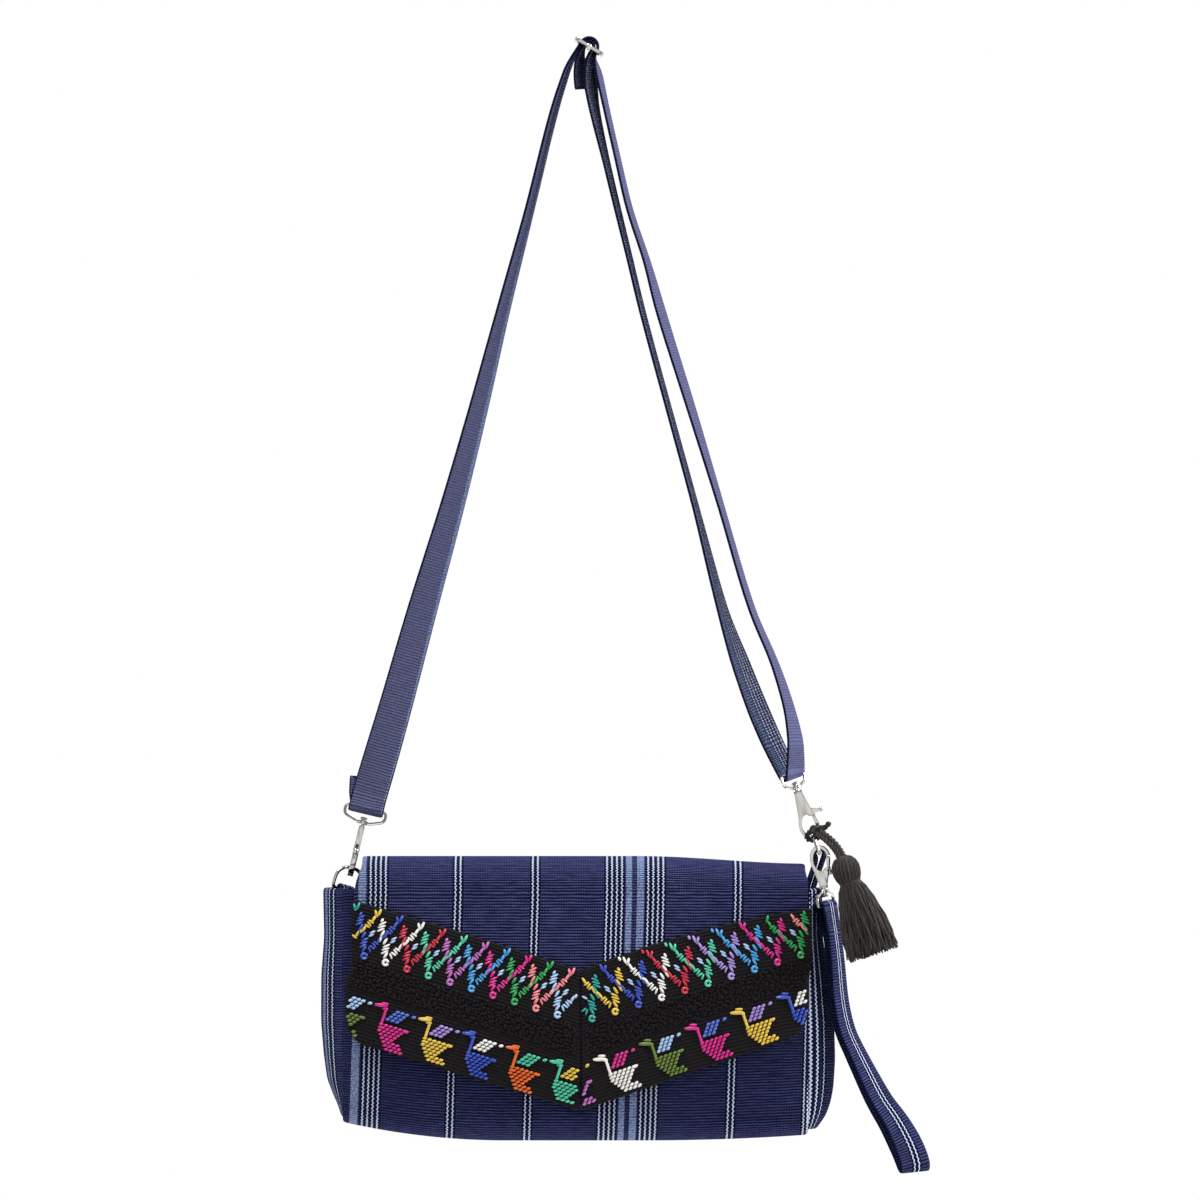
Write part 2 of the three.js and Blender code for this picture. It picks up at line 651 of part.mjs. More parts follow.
const OUTER_RUN = [
  { x: 9.8, y: 0, z: -6, turn: 86 },
  { x: 13.3, y: 0, z: -27, turn: 82 },
  { x: 19.3, y: 0, z: -53.4, turn: 82 },
  { x: 25.4, y: 0, z: -79.5, turn: 81 },
  { x: 34.2, y: 0, z: -105.7, turn: 80 },
  { x: 41.5, y: 0, z: -132, turn: 74 },
  { x: 57.8, y: -0.5, z: -184, turn: 76 },
  { x: 73.8, y: -1, z: -236.5, turn: 81 },
  { x: 89.4, y: -2, z: -289, turn: 80 },
  { x: 100.6, y: -3, z: -315, turn: 78 },
  { x: 109, y: -4.5, z: -341, turn: 72 },
  { x: 112.4, y: -6, z: -359, turn: 63 },
];

const INNER_RUN = [
  { x: 100.4, y: -2.4, z: -359, turn: 50 },
  { x: 92.6, y: -2.2, z: -341, turn: 51 },
  { x: 82.8, y: -1.5, z: -315, turn: 58 },
  { x: 74, y: -1, z: -289, turn: 73 },
  { x: 60.4, y: -0.5, z: -236.5, turn: 81 },
  { x: 46, y: 0, z: -184, turn: 82 },
  { x: 31.9, y: 0, z: -132, turn: 82 },
  { x: 25.6, y: 0, z: -105.7, turn: 82 },
  { x: 19.2, y: 0, z: -79.5, turn: 81 },
  { x: 13, y: 0, z: -53.4, turn: 80 },
  { x: 6.8, y: 0, z: -26.2, turn: 74 },
  { x: 4.8, y: 0, z: -12, turn: 74 },
];

const LOOP_REACH = 2.65;
const HUMP_REACH = LOOP_REACH + LAYER_PITCH - 0.1;

function shoulderStrap() {
  const turnedEnd = [[-3.2, 1.15, 25.5], [-2, 1.15, 17], [0, 1.5, 13]]
    .map(([x, y, z]) => eyeStation(claspLeft.eye, y, z, x));
  const front = [[1.5, 13], [1.1, 16]].map(([y, z]) => eyeStation(claspLeft.eye, -y, z));
  const looseEnd = [{ x: -0.4, z: 2, turn: 86 }, { x: -1.4, z: -4, turn: 75 }, { x: -0.4, z: -10, turn: 74 },
    { x: 2.4, z: -16.5, turn: 74 }].map(({ x, z, turn }) => ({ p: vec(x, 0, z), w: heading(turn) }));
  return webbing([
    ...turnedEnd, ...roundEye(claspLeft.eye, 20, -200, 31), ...front,
    ...run(LEFT_RUN, 3),
    sliderStation(-HUMP_REACH, -3), ...overSlider(HUMP_REACH, 180, 0, 8),
    sliderStation(HUMP_REACH, -1.8), sliderStation(HUMP_REACH + 0.9, -4),
    ...run(OUTER_RUN, 2),
    ...roundEye(claspRight.eye, 190, 350, 24),
    ...run(INNER_RUN, 2),
    sliderStation(LOOP_REACH, -4), ...overSlider(LOOP_REACH, 0, 180, 6),
    ...looseEnd,
  ], STRAP_WIDTH, STRAP_CLOTH);
}

add('shoulder_strap', shoulderStrap(), 'indigo');

const WRIST_RUN = [
  { x: 131, y: -11.5, z: -457, turn: 68, spread: 1.1 },
  { x: 132.8, y: -11.5, z: -472, turn: 66, spread: 1.1 },
  { x: 134.6, y: -11.5, z: -493, turn: 64, spread: 1.2 },
  { x: 138, y: -11.5, z: -508.6, turn: 62, spread: 1.2 },
  { x: 142.6, y: -11.5, z: -519, turn: 60, spread: 1.2 },
  { x: 147.8, y: -11.5, z: -529.6, turn: 56, spread: 1.3 },
  { x: 155.9, y: -11.5, z: -545.3, turn: 49, spread: 1.5 },
  { x: 163, y: -11.5, z: -556, turn: 42, spread: 1.9 },
  { x: 168.6, y: -11.5, z: -566.2, turn: 36, spread: 2.2 },
  { x: 172.2, y: -11.5, z: -574.4, turn: 33, spread: 2 },
  { x: 173.8, y: -11.5, z: -579.6, turn: 32, spread: 1.5 },
];

function wristStrap() {
  const centre = run(WRIST_RUN, 2);
  const last = centre[centre.length - 1];
  const strand = (side) => centre.map(({ p, w }, i) => {
    const before = centre[Math.max(i - 1, 0)].p;
    const after = (centre[i + 1] ?? last).p;
    const normal = w.clone().cross(after.clone().sub(before)).normalize();
    const spread = lerp(WRIST_RUN[Math.floor(i / 2)].spread, WRIST_RUN[Math.ceil(i / 2)].spread, 0.5);
    return { p: p.clone().addScaledVector(normal, side * spread), w };
  });
  const fold = [{ p: last.p.clone().add(vec(0.7, 0, -3.4)), w: last.w }];
  return webbing([
    ...roundEye(wristClasp.eye, 160, 380, 31), ...strand(-1), ...fold, ...strand(1).reverse(),
  ], STRAP_WIDTH, STRAP_CLOTH, true);
}

add('wrist_strap', wristStrap(), 'indigo');

// Tassel: head, neck and locks fused in one, with its axis leaning to the right.
const TASSEL = { head: vec(138, -31, -424), lean: 162, length: 45, locks: 14, flatness: 0.75 };
const tasselAxis = lean(TASSEL.lean);
const tasselGroup = framed(TASSEL.head, vec(0, 1, 0).cross(tasselAxis), vec(0, 1, 0), tasselAxis);

function tassel() {
  const head = turned([[0, -7.4], [4.6, -6], [7, -1], [6.4, 4], [5.6, 7], [6.6, 9],
    [8.4, 16], [10.4, 32], [0, 36]], 12);
  const parts = [head];
  for (let i = 0; i < TASSEL.locks; i += 1) {
    const turn = 2 * Math.PI * i / TASSEL.locks;
    const long = TASSEL.length + 1.6 * Math.sin(5 * i + 1);
    const path = [[3, 7.5], [6.4, 16], [8.8, 28], [11, long]]
      .map(([r, z]) => vec(r * Math.cos(turn), r * Math.sin(turn), z));
    const frames = path.map((p, k) => ({
      p,
      a: vec(Math.cos(turn), Math.sin(turn), 0).multiplyScalar(2 + 0.6 * k),
      b: vec(-Math.sin(turn), Math.cos(turn), 0).multiplyScalar(1.8 + 0.55 * k),
    }));
    parts.push(sweep(frames, circle(1, 5)));
  }
  return fuse(parts).scale(1, TASSEL.flatness, 1);
}

add('tassel', tassel(), 'charcoal', tasselGroup);

// The cord loops round the front shoulder of the right ring and ends in a knot in front of it.
function tasselCord() {
  const shoulder = (inward) => ringRight.localToWorld(vec(-6.2 + 0.72 * inward, 0, 10.1 - 0.69 * inward));
  const side = ringRight.localToWorld(vec(0, 1, 0)).sub(ringRight.localToWorld(vec(0, 0, 0)));
  const inward = shoulder(1).sub(shoulder(0)).normalize();
  const loopRadius = WIRE + GAP + CORD_RADIUS + 0.4;
  const frames = Array.from({ length: 12 }, (_, i) => {
    const angle = 2 * Math.PI * i / 12;
    const out = side.clone().multiplyScalar(Math.cos(angle)).addScaledVector(inward, Math.sin(angle));
    return { p: shoulder(0).addScaledVector(out, loopRadius), a: out, b: inward.clone().cross(side) };
  });
  const loop = sweep(frames, circle(CORD_RADIUS, 6), true);
  const knotAt = shoulder(0).addScaledVector(inward, -4.6).add(vec(3.2, -1.2, -0.9));
  const knot = new THREE.SphereGeometry(3.7, 9, 7).scale(1.25, 0.9, 0.95).translate(...knotAt);
  const top = tasselGroup.localToWorld(vec(0, 0, -8.3));
  const hang = [knotAt, knotAt.clone().lerp(top, 0.35).add(vec(0.6, -0.6, 1.2)),
    knotAt.clone().lerp(top, 0.7).add(vec(0.8, -0.4, 1)), top];
  const tail = [knotAt, knotAt.clone().add(vec(4, -0.8, 2.2)), knotAt.clone().add(vec(6.4, -1.4, 4.6))];
  return fuse([loop, knot, cord(hang, CORD_RADIUS, 6), cord(tail, CORD_RADIUS, 6)]);
}

add('tassel_cord', tasselCord(), 'charcoal');

export default bag;
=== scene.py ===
# %% [markdown]
# # A woven baguette bag
# The bag is a flat envelope of hand-loomed indigo cotton. It has a V-shaped flap with two black
# embroidered bands, a long shoulder strap, a wrist loop and a tassel, and it hangs by its strap.
# The measured solids come first as a frame. Each step then puts the finished piece where its solid is.
# Sizes are in millimetres, and become metres where a mesh is made.

# %% The frame and its box
import math
import random

import bpy
import numpy as np
from mathutils import Matrix, Vector


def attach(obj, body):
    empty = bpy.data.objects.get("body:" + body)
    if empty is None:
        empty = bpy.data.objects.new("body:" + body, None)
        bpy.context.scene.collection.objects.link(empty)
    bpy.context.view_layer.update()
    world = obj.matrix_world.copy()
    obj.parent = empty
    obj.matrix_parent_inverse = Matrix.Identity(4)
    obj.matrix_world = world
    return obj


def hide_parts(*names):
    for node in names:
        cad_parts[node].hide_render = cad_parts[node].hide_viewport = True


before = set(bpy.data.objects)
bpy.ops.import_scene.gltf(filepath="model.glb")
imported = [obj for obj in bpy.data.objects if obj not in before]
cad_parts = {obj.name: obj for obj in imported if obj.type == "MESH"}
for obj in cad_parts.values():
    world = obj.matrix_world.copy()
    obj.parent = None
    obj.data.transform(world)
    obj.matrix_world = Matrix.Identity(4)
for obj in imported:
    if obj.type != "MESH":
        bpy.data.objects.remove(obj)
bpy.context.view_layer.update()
MM = 0.001
print("solids in the frame:", len(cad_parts))

# %% [markdown]
# ## Camera, light and floor
# The photograph was taken from far away with a long lens, level with the middle of the strap, so the
# camera stands six metres off. A soft grey sky gives the even studio light. One broad lamp stands high at
# the front left and another to the right, where it lights the outer side of the strap.
# Polished metal shows what stands round it, so it mirrors bright and dark surroundings of its own, and the
# lens sees white paper behind the bag. A floor could show below it, but the bag hangs, so it lies deep down.

# %% Camera
VIEW_WIDTH = 628
VIEW_CENTRE = Vector((9.9, 0, -283.6))
VIEW_DISTANCE = 6000
SENSOR = 36

bpy.ops.object.camera_add(
    location=(VIEW_CENTRE - Vector((0, VIEW_DISTANCE, 0))) * MM, rotation=(math.radians(90), 0, 0),
)
camera = bpy.context.object
camera.data.sensor_width = SENSOR
camera.data.lens = SENSOR * VIEW_DISTANCE / VIEW_WIDTH
bpy.context.scene.camera = camera
bpy.context.scene.view_settings.view_transform = "Standard"
print("lens", round(camera.data.lens), "mm")


# %% Colours and nodes
def linear(code):
    """An sRGB hex colour as the linear RGBA that shaders take."""
    channels = [int(code[i : i + 2], 16) / 255 for i in (1, 3, 5)]
    curve = [c / 12.92 if c <= 0.04045 else ((c + 0.055) / 1.055) ** 2.4 for c in channels]
    return (*curve, 1)


def fill_sockets(tree, node, sockets):
    """Each socket takes a value, another node's output, or a node, which gives its first output."""
    for key, value in sockets.items():
        if isinstance(value, bpy.types.Node):
            value = next(output for output in value.outputs if output.enabled)
        if isinstance(value, bpy.types.NodeSocket):
            tree.links.new(value, node.inputs[key])
        else:
            node.inputs[key].default_value = value


def add_node(tree, kind, sockets, **settings):
    """Add a node of any kind with its settings, and fill its sockets."""
    node = tree.nodes.new(kind)
    for key, value in settings.items():
        setattr(node, key, value)
    fill_sockets(tree, node, sockets)
    return node


def new_finish(name):
    """A material, its node tree and its shader."""
    finish = bpy.data.materials.new(name)
    finish.use_nodes = True
    return finish, finish.node_tree, finish.node_tree.nodes["Principled BSDF"]


# %% Sky
SKY_STRENGTH = 0.85
MIRROR_STRENGTH = 0.9
# what metal mirrors, by depth: bright at the lens, dark in a ring round it, bright again further off
MIRROR_BY_DEPTH = [(0.0, 1.0), (0.06, 0.25), (0.3, 0.45), (1.0, 1.0)]

world = bpy.data.worlds.new("soft studio")
world.use_nodes = True
bpy.context.scene.world = world
sky = world.node_tree
sky.nodes.clear()
direction = add_node(sky, "ShaderNodeTexCoord", {}).outputs["Generated"]
toward = add_node(sky, "ShaderNodeSeparateXYZ", {"Vector": direction}).outputs
lift = add_node(
    sky, "ShaderNodeMapRange",
    {"Value": toward["Z"], "From Min": -0.15, "From Max": 1.0, "To Min": 0.03, "To Max": 1.0},
)
glow = add_node(sky, "ShaderNodeBackground", {"Color": lift, "Strength": SKY_STRENGTH})
depth = add_node(sky, "ShaderNodeMapRange", {"Value": toward["Y"], "From Min": -1.0, "From Max": 1.0})
rings = add_node(sky, "ShaderNodeValToRGB", {"Fac": depth})
for stop, _ in MIRROR_BY_DEPTH[1:-1]:
    rings.color_ramp.elements.new(stop)
for element, (stop, level) in zip(rings.color_ramp.elements, MIRROR_BY_DEPTH):
    element.position = stop
    element.color = (level, level, level, 1)
mirrored = add_node(sky, "ShaderNodeBackground", {"Color": rings, "Strength": MIRROR_STRENGTH})
paper = add_node(sky, "ShaderNodeBackground", {"Color": (1, 1, 1, 1), "Strength": 1.0})
ray = add_node(sky, "ShaderNodeLightPath", {}).outputs
around = add_node(sky, "ShaderNodeMixShader", {0: ray["Is Glossy Ray"], 1: glow, 2: mirrored})
seen = add_node(sky, "ShaderNodeMixShader", {0: ray["Is Camera Ray"], 1: around, 2: paper})
add_node(sky, "ShaderNodeOutputWorld", {"Surface": seen})
print("nodes in the sky:", len(sky.nodes))

# %% Lamps and floor
FLOOR_Z = -850
FLOOR_SIZE = 1400
LAMPS = [
    {"at": (-600, -480, 1450), "aim": (0, 0, -450), "size": 900, "watts": 40},
    {"at": (1550, -120, 250), "aim": (0, 0, -350), "size": 700, "watts": 34},
]
for lamp in LAMPS:
    aim = Vector(lamp["aim"]) - Vector(lamp["at"])
    bpy.ops.object.light_add(
        type="AREA", location=Vector(lamp["at"]) * MM, rotation=aim.to_track_quat("-Z", "Y").to_euler(),
    )
    light = bpy.context.object.data
    light.size = lamp["size"] * MM
    light.energy = lamp["watts"]

bpy.ops.mesh.primitive_plane_add(size=FLOOR_SIZE * MM, location=(0, 0, FLOOR_Z * MM))
floor = bpy.context.object
floor.name = "floor"
# matt and nearly white, to throw a little light back
floor_paint, tree, shader = new_finish("pale floor paint")
fill_sockets(tree, shader, {"Base Color": linear("#F1F0EE"), "Roughness": 0.8})
floor.data.materials.append(floor_paint)
print("lamps:", len(LAMPS))

# %% [markdown]
# ## Indigo cotton
# The cloth is cotton woven on a foot loom and dyed with indigo. Its thick weft makes fine ribs across the
# piece. Pale blue warp threads come up through them as stripes: thin ones that zigzag like a chain on a
# darker ground, and broad ones that look speckled. The strap has faded in the sun. The rims of the strap
# and the wrist loop carry painted shade, and so does the body under the flap, which is painted a deeper
# blue.
# The stripes could be painted by world position, but cloth turns corners, so every cloth piece carries an
# attribute named "cloth" instead: millimetres across the warp, millimetres along it, and which face it is.
# The real ribs are about 1.3 mm apart. They are drawn coarser, 1.5 mm apart, because finer ones blur away.

# %% Weave and dyes
RIB_PITCH = 1.5
WARP_PITCH = 1.25
RIB_RELIEF = 0.5
YARN_STRETCH = (0.12, 0.9, 1)
RUBBED = 0.35
CHAIN_STEP = 1.12
CHAIN_SWAY = 0.32
CHAIN_WIDTH = 0.75
STRIPE_GROUND = 1.2
STRIPE_RELIEF = {"broad": 0.2, "thin": 0.4}
# the face value is 1 or -1 on the two faces of a strip and 0 at its edges
STRIPED_FACE = -0.9
# painted shade: a strip's rim, out to this face value, is painted in the dark ground dye
EDGE_SHADE_FACE = 0.85
# a wave texture of scale 1 has 10 / pi bands to the unit
WAVE_UNIT = math.pi / 10

INDIGO = {
    "deep": "#05061A",
    "rib": "#42477C",
    "worn": "#6A6E98",
    "ground": "#0E1530",
    "thin": "#C6D0EA",
    "broad": "#8FA0C4",
    "speckle": "#4C5A84",
    "faded": "#8587AE",
    # painted shade: the deeper blue that the body under the flap is blended towards
    "shade_under_flap": "#05072F",
}
COTTON = {
    "Roughness": 0.9,
    "Specular IOR Level": 0.03,
    "Sheen Weight": 0.05,
    "Sheen Roughness": 0.5,
    "Sheen Tint": linear("#8C97D6"),
}
print("dyes:", ", ".join(INDIGO))


# %% Woven cloth
def stripe_mask(tree, across, lines):
    """1 on the lines (centre, width) in mm, and 0 between them."""
    mask = 0.0
    for centre, width in lines:
        line = add_node(tree, "ShaderNodeMath", {0: across, 1: centre, 2: width / 2}, operation="COMPARE")
        mask = add_node(tree, "ShaderNodeMath", {0: mask, 1: line}, operation="MAXIMUM")
    return mask


def indigo_cotton(
    name, thin, broad, one_face=False, fade_and_painted_shade=None, chain=CHAIN_WIDTH, sway=CHAIN_SWAY, painted_edge_shade=False
):
    """Matt, ribbed blue cloth with thin stripes at (centre) and broad ones at (centre, width) in mm."""
    finish, tree, shader = new_finish(name)
    dye = {key: linear(code) for key, code in INDIGO.items()}
    cloth = add_node(tree, "ShaderNodeAttribute", {}, attribute_name="cloth").outputs["Vector"]
    across, along, face = add_node(tree, "ShaderNodeSeparateXYZ", {"Vector": cloth}).outputs

    # the ribs of the weft with the grain of the warp, in yarn that is uneven and rubbed in places
    weft = add_node(
        tree,
        "ShaderNodeTexWave",
        {"Vector": cloth, "Scale": WAVE_UNIT / RIB_PITCH, "Distortion": 1.4, "Detail Scale": 0.6},
        bands_direction="Y",
    ).outputs["Fac"]
    warp = add_node(
        tree,
        "ShaderNodeTexWave",
        {"Vector": cloth, "Scale": WAVE_UNIT / WARP_PITCH, "Distortion": 1.5},
        bands_direction="X",
    ).outputs["Fac"]
    stretched = add_node(tree, "ShaderNodeMapping", {"Vector": cloth, "Scale": YARN_STRETCH})
    yarn = add_node(tree, "ShaderNodeTexNoise", {"Vector": stretched, "Scale": 1, "Detail": 4})
    worn = add_node(tree, "ShaderNodeTexNoise", {"Vector": cloth, "Scale": 0.03, "Detail": 3})
    grain = add_node(tree, "ShaderNodeMath", {0: warp, 1: 0.3, 2: -0.15}, operation="MULTIPLY_ADD")
    rib = add_node(tree, "ShaderNodeMath", {0: weft, 1: grain}, operation="ADD")
    thread = add_node(
        tree, "ShaderNodeMapRange",
        {"Value": yarn, "From Min": 0.3, "From Max": 0.7, "To Min": 0.35, "To Max": 1.15},
    )
    lit = add_node(tree, "ShaderNodeMath", {0: rib, 1: thread}, operation="MULTIPLY", use_clamp=True)
    touched = add_node(tree, "ShaderNodeMath", {0: lit, 1: worn}, operation="MULTIPLY")
    rubbed = add_node(tree, "ShaderNodeMath", {0: touched, 1: RUBBED}, operation="MULTIPLY")
    layers = [(lit, dye["rib"]), (rubbed, dye["worn"])]
    # a blend towards one dye: on the strap it is sun fading, on the body under the flap it is painted shade
    if fade_and_painted_shade:
        layers.append((fade_and_painted_shade["share"], dye[fade_and_painted_shade["to"]]))
    # painted shade: the rims of the strip are painted dark
    if painted_edge_shade:
        layers.append((stripe_mask(tree, face, [(0.0, 2 * EDGE_SHADE_FACE)]), dye["ground"]))

    # the stripes: thin ones sway from side to side along the warp, and broad ones are speckled
    shown_on = 1.0
    if one_face:
        shown_on = add_node(tree, "ShaderNodeMath", {0: face, 1: STRIPED_FACE}, operation="LESS_THAN")
    swing = add_node(tree, "ShaderNodeMath", {0: along, 1: CHAIN_STEP}, operation="PINGPONG")
    aside = add_node(
        tree, "ShaderNodeMath", {0: swing, 1: 2 * sway / CHAIN_STEP, 2: -sway}, operation="MULTIPLY_ADD"
    )
    swayed = add_node(tree, "ShaderNodeMath", {0: across, 1: aside}, operation="ADD")
    speckle = add_node(tree, "ShaderNodeTexNoise", {"Vector": cloth, "Scale": 1.1})
    patch = add_node(tree, "ShaderNodeMapRange", {"Value": speckle, "From Min": 0.35, "From Max": 0.65})
    mottled = add_node(
        tree, "ShaderNodeMix", {"Factor": patch, "A": dye["speckle"], "B": dye["broad"]}, data_type="RGBA"
    )
    kinds = [
        (across, broad, mottled, STRIPE_RELIEF["broad"]),
        (swayed, [(centre, chain) for centre in thin], dye["thin"], STRIPE_RELIEF["thin"]),
    ]
    if not one_face:
        ground = [(centre, CHAIN_WIDTH + 2 * STRIPE_GROUND) for centre in thin]
        kinds.insert(0, (across, ground, dye["ground"], 0.0))
    relief = rib
    for over, lines, tint, height in kinds:
        if lines:
            mask = stripe_mask(tree, over, lines)
            shown = add_node(tree, "ShaderNodeMath", {0: mask, 1: shown_on}, operation="MULTIPLY")
            layers.append((shown, tint))
            relief = add_node(
                tree, "ShaderNodeMath", {0: shown, 1: height, 2: relief}, operation="MULTIPLY_ADD"
            )

    colour = dye["deep"]
    for factor, tint in layers:
        colour = add_node(
            tree, "ShaderNodeMix", {"Factor": factor, "A": colour, "B": tint}, data_type="RGBA"
        )
    bump = add_node(
        tree, "ShaderNodeBump", {"Height": relief, "Distance": RIB_RELIEF * MM, "Strength": 0.9}
    )
    fill_sockets(tree, shader, {**COTTON, "Base Color": colour, "Normal": bump})
    return finish


# %% Stripes of each cloth
# The warp's stripes across the flap: two groups of four thin lines beside broad ones, and pairs between.
PAIR = (-1.3, 1.3)
FOUR = (-3.9, -1.3, 1.3, 3.9)
PAIRS_AT = (-64.1, -23.8, 81.9, 121.5)
FOURS_AT = (-105.7, 17.5, 39.0)
PANEL_THIN = [at + step for at in PAIRS_AT for step in PAIR]
PANEL_THIN += [at + step for at in FOURS_AT for step in FOUR]
PANEL_BROAD = [(-114.1, 4.2), (25.1, 3.1), (31.1, 3.7)]

panel_cotton = indigo_cotton("indigo cotton, striped", PANEL_THIN, PANEL_BROAD)
# painted shade: the body under the flap is blended towards a deeper blue
body_cotton = indigo_cotton(
    "indigo cotton, painted shade under the flap", PANEL_THIN, PANEL_BROAD, fade_and_painted_shade={"share": 0.3, "to": "shade_under_flap"}
)
# the broad band on the left side stands partly for wear and partly for painted light falling from the left
left_side_cotton = indigo_cotton("indigo cotton, left side", [6.0, 9.6], [(13.6, 3.4)])
right_side_cotton = indigo_cotton("indigo cotton, right side", [1.7, 4.2, 7.9], [])
# the strap has faded in the sun, and its rims carry painted shade
strap_cotton = indigo_cotton(
    "indigo cotton, strap", [-0.6, 2.0, 4.6, 7.2], [(-4.2, 3.8)], one_face=True,
    fade_and_painted_shade={"share": 0.36, "to": "faded"}, chain=1.1, sway=0.12, painted_edge_shade=True,
)
# painted shade on the rims of the wrist loop
wrist_cotton = indigo_cotton("indigo cotton, wrist loop", [-0.6, 2.2], [], painted_edge_shade=True)
tab_cotton = indigo_cotton("indigo cotton, tab", [-2.6, 2.6], [(0.0, 2.2)])
print("stripes on the panels:", len(PANEL_THIN) + len(PANEL_BROAD))

# %% [markdown]
# ## Black cotton and coloured threads
# The bands were cut from a heavily brocaded black cloth: its ground is a ribbed black cotton that hardly
# shines. The figures are mercerised cotton, which was treated to take a silky gloss. Each stitch keeps its
# own colour in an attribute named "thread", so one finish serves all of them. A bright thread shines, and
# a black one hardly does.

# %% Band and thread finishes
BAND_RIB_PITCH = 1.9
FIBRE = 0.5


def black_cotton():
    """Dull black with faint ribs."""
    finish, tree, shader = new_finish("black cotton, ribbed")
    cloth = add_node(tree, "ShaderNodeAttribute", {}, attribute_name="cloth").outputs["Vector"]
    ribs = add_node(
        tree,
        "ShaderNodeTexWave",
        {"Vector": cloth, "Scale": WAVE_UNIT / BAND_RIB_PITCH, "Distortion": 1.2, "Detail Scale": 0.4},
        bands_direction="Y",
    ).outputs["Fac"]
    fluff = add_node(tree, "ShaderNodeTexNoise", {"Vector": cloth, "Scale": 0.9, "Detail": 4})
    shade = add_node(tree, "ShaderNodeMath", {0: ribs, 1: fluff}, operation="MULTIPLY")
    colour = add_node(
        tree, "ShaderNodeMix", {"Factor": shade, "A": linear("#080608"), "B": linear("#2C262B")},
        data_type="RGBA",
    )
    bump = add_node(tree, "ShaderNodeBump", {"Height": ribs, "Distance": 0.35 * MM, "Strength": 0.7})
    fill_sockets(tree, shader, {"Roughness": 0.92, "Specular IOR Level": 0.2})
    fill_sockets(tree, shader, {"Base Color": colour, "Normal": bump})
    return finish


def mercerised_cotton():
    """Bright colour with a silky gloss; the darker a thread, the less it shines."""
    finish, tree, shader = new_finish("mercerised cotton thread")
    thread = add_node(tree, "ShaderNodeAttribute", {}, attribute_name="thread").outputs["Color"]
    place = add_node(tree, "ShaderNodeTexCoord", {}).outputs["Object"]
    fibre = add_node(tree, "ShaderNodeTexNoise", {"Vector": place, "Scale": 1 / (FIBRE * MM), "Detail": 2})
    shade = add_node(tree, "ShaderNodeMapRange", {"Value": fibre, "To Min": 0.8, "To Max": 1.25})
    colour = add_node(
        tree, "ShaderNodeMix", {"Factor": 1.0, "A": thread, "B": shade}, data_type="RGBA",
        blend_type="MULTIPLY",
    )
    bright = add_node(tree, "ShaderNodeRGBToBW", {"Color": thread})
    gloss = add_node(
        tree, "ShaderNodeMapRange", {"Value": bright, "From Max": 0.06, "To Min": 0.02, "To Max": 0.5}
    )
    bump = add_node(tree, "ShaderNodeBump", {"Height": fibre, "Distance": 0.12 * MM, "Strength": 0.6})
    fill_sockets(tree, shader, {"Roughness": 0.36, "Specular IOR Level": gloss})
    fill_sockets(tree, shader, {"Base Color": colour, "Normal": bump})
    return finish


band_cotton = black_cotton()
thread_cotton = mercerised_cotton()
print("thread finishes made")

# %% [markdown]
# ## Nickel plate and charcoal yarn
# The rings, clasps and slider are zinc castings and steel wire with a bright nickel plate, which is a
# slightly warm mirror with faint clouding. The tassel is soft, matt cotton yarn in charcoal, and each
# strand carries its own shade in the attribute "thread".

# %% Metal and yarn finishes
CLOUD = 3
FLUFF = 1.2


def nickel_plate():
    """A slightly warm mirror, faintly clouded."""
    finish, tree, shader = new_finish("bright nickel plate")
    place = add_node(tree, "ShaderNodeTexCoord", {}).outputs["Object"]
    cloud = add_node(tree, "ShaderNodeTexNoise", {"Vector": place, "Scale": 1 / (CLOUD * MM), "Detail": 3})
    dull = add_node(tree, "ShaderNodeMapRange", {"Value": cloud, "To Min": 0.08, "To Max": 0.2})
    fill_sockets(tree, shader, {"Base Color": linear("#DEDBD5"), "Metallic": 1, "Roughness": dull})
    return finish


def charcoal_yarn():
    """Matt dark grey, lighter or darker from strand to strand."""
    finish, tree, shader = new_finish("charcoal cotton yarn")
    place = add_node(tree, "ShaderNodeTexCoord", {}).outputs["Object"]
    thread = add_node(tree, "ShaderNodeAttribute", {}, attribute_name="thread").outputs["Color"]
    fluff = add_node(tree, "ShaderNodeTexNoise", {"Vector": place, "Scale": 1 / (FLUFF * MM), "Detail": 4})
    shade = add_node(
        tree, "ShaderNodeMix", {"Factor": fluff, "A": linear("#191615"), "B": linear("#4C4643")},
        data_type="RGBA",
    )
    colour = add_node(
        tree, "ShaderNodeMix", {"Factor": 1.0, "A": shade, "B": thread}, data_type="RGBA",
        blend_type="MULTIPLY",
    )
    bump = add_node(tree, "ShaderNodeBump", {"Height": fluff, "Distance": 0.2 * MM, "Strength": 0.6})
    fill_sockets(tree, shader, {"Roughness": 0.95, "Specular IOR Level": 0.15, "Sheen Weight": 0.15})
    fill_sockets(tree, shader, {"Base Color": colour, "Normal": bump})
    return finish


nickel = nickel_plate()
charcoal = charcoal_yarn()
print("finishes:", len(bpy.data.materials))

# %% [markdown]
# ## Handling meshes
# A few small helpers do what the hand does in the viewport: pick one object, apply its modifiers, weld its
# seams, and tie the finished piece to the frame. A cloth piece starts as a grid primitive whose points are
# moved to a formula, because a weave has to run true over the whole sheet.


# %% Helpers for pieces
def pick(obj):
    bpy.ops.object.select_all(action="DESELECT")
    obj.select_set(True)
    bpy.context.view_layer.objects.active = obj


def modify(obj, kind, **settings):
    """Add a modifier with its settings and apply it."""
    modifier = obj.modifiers.new(kind, kind)
    for key, value in settings.items():
        setattr(modifier, key, value)
    pick(obj)
    bpy.ops.object.modifier_apply(modifier=modifier.name)
    return obj


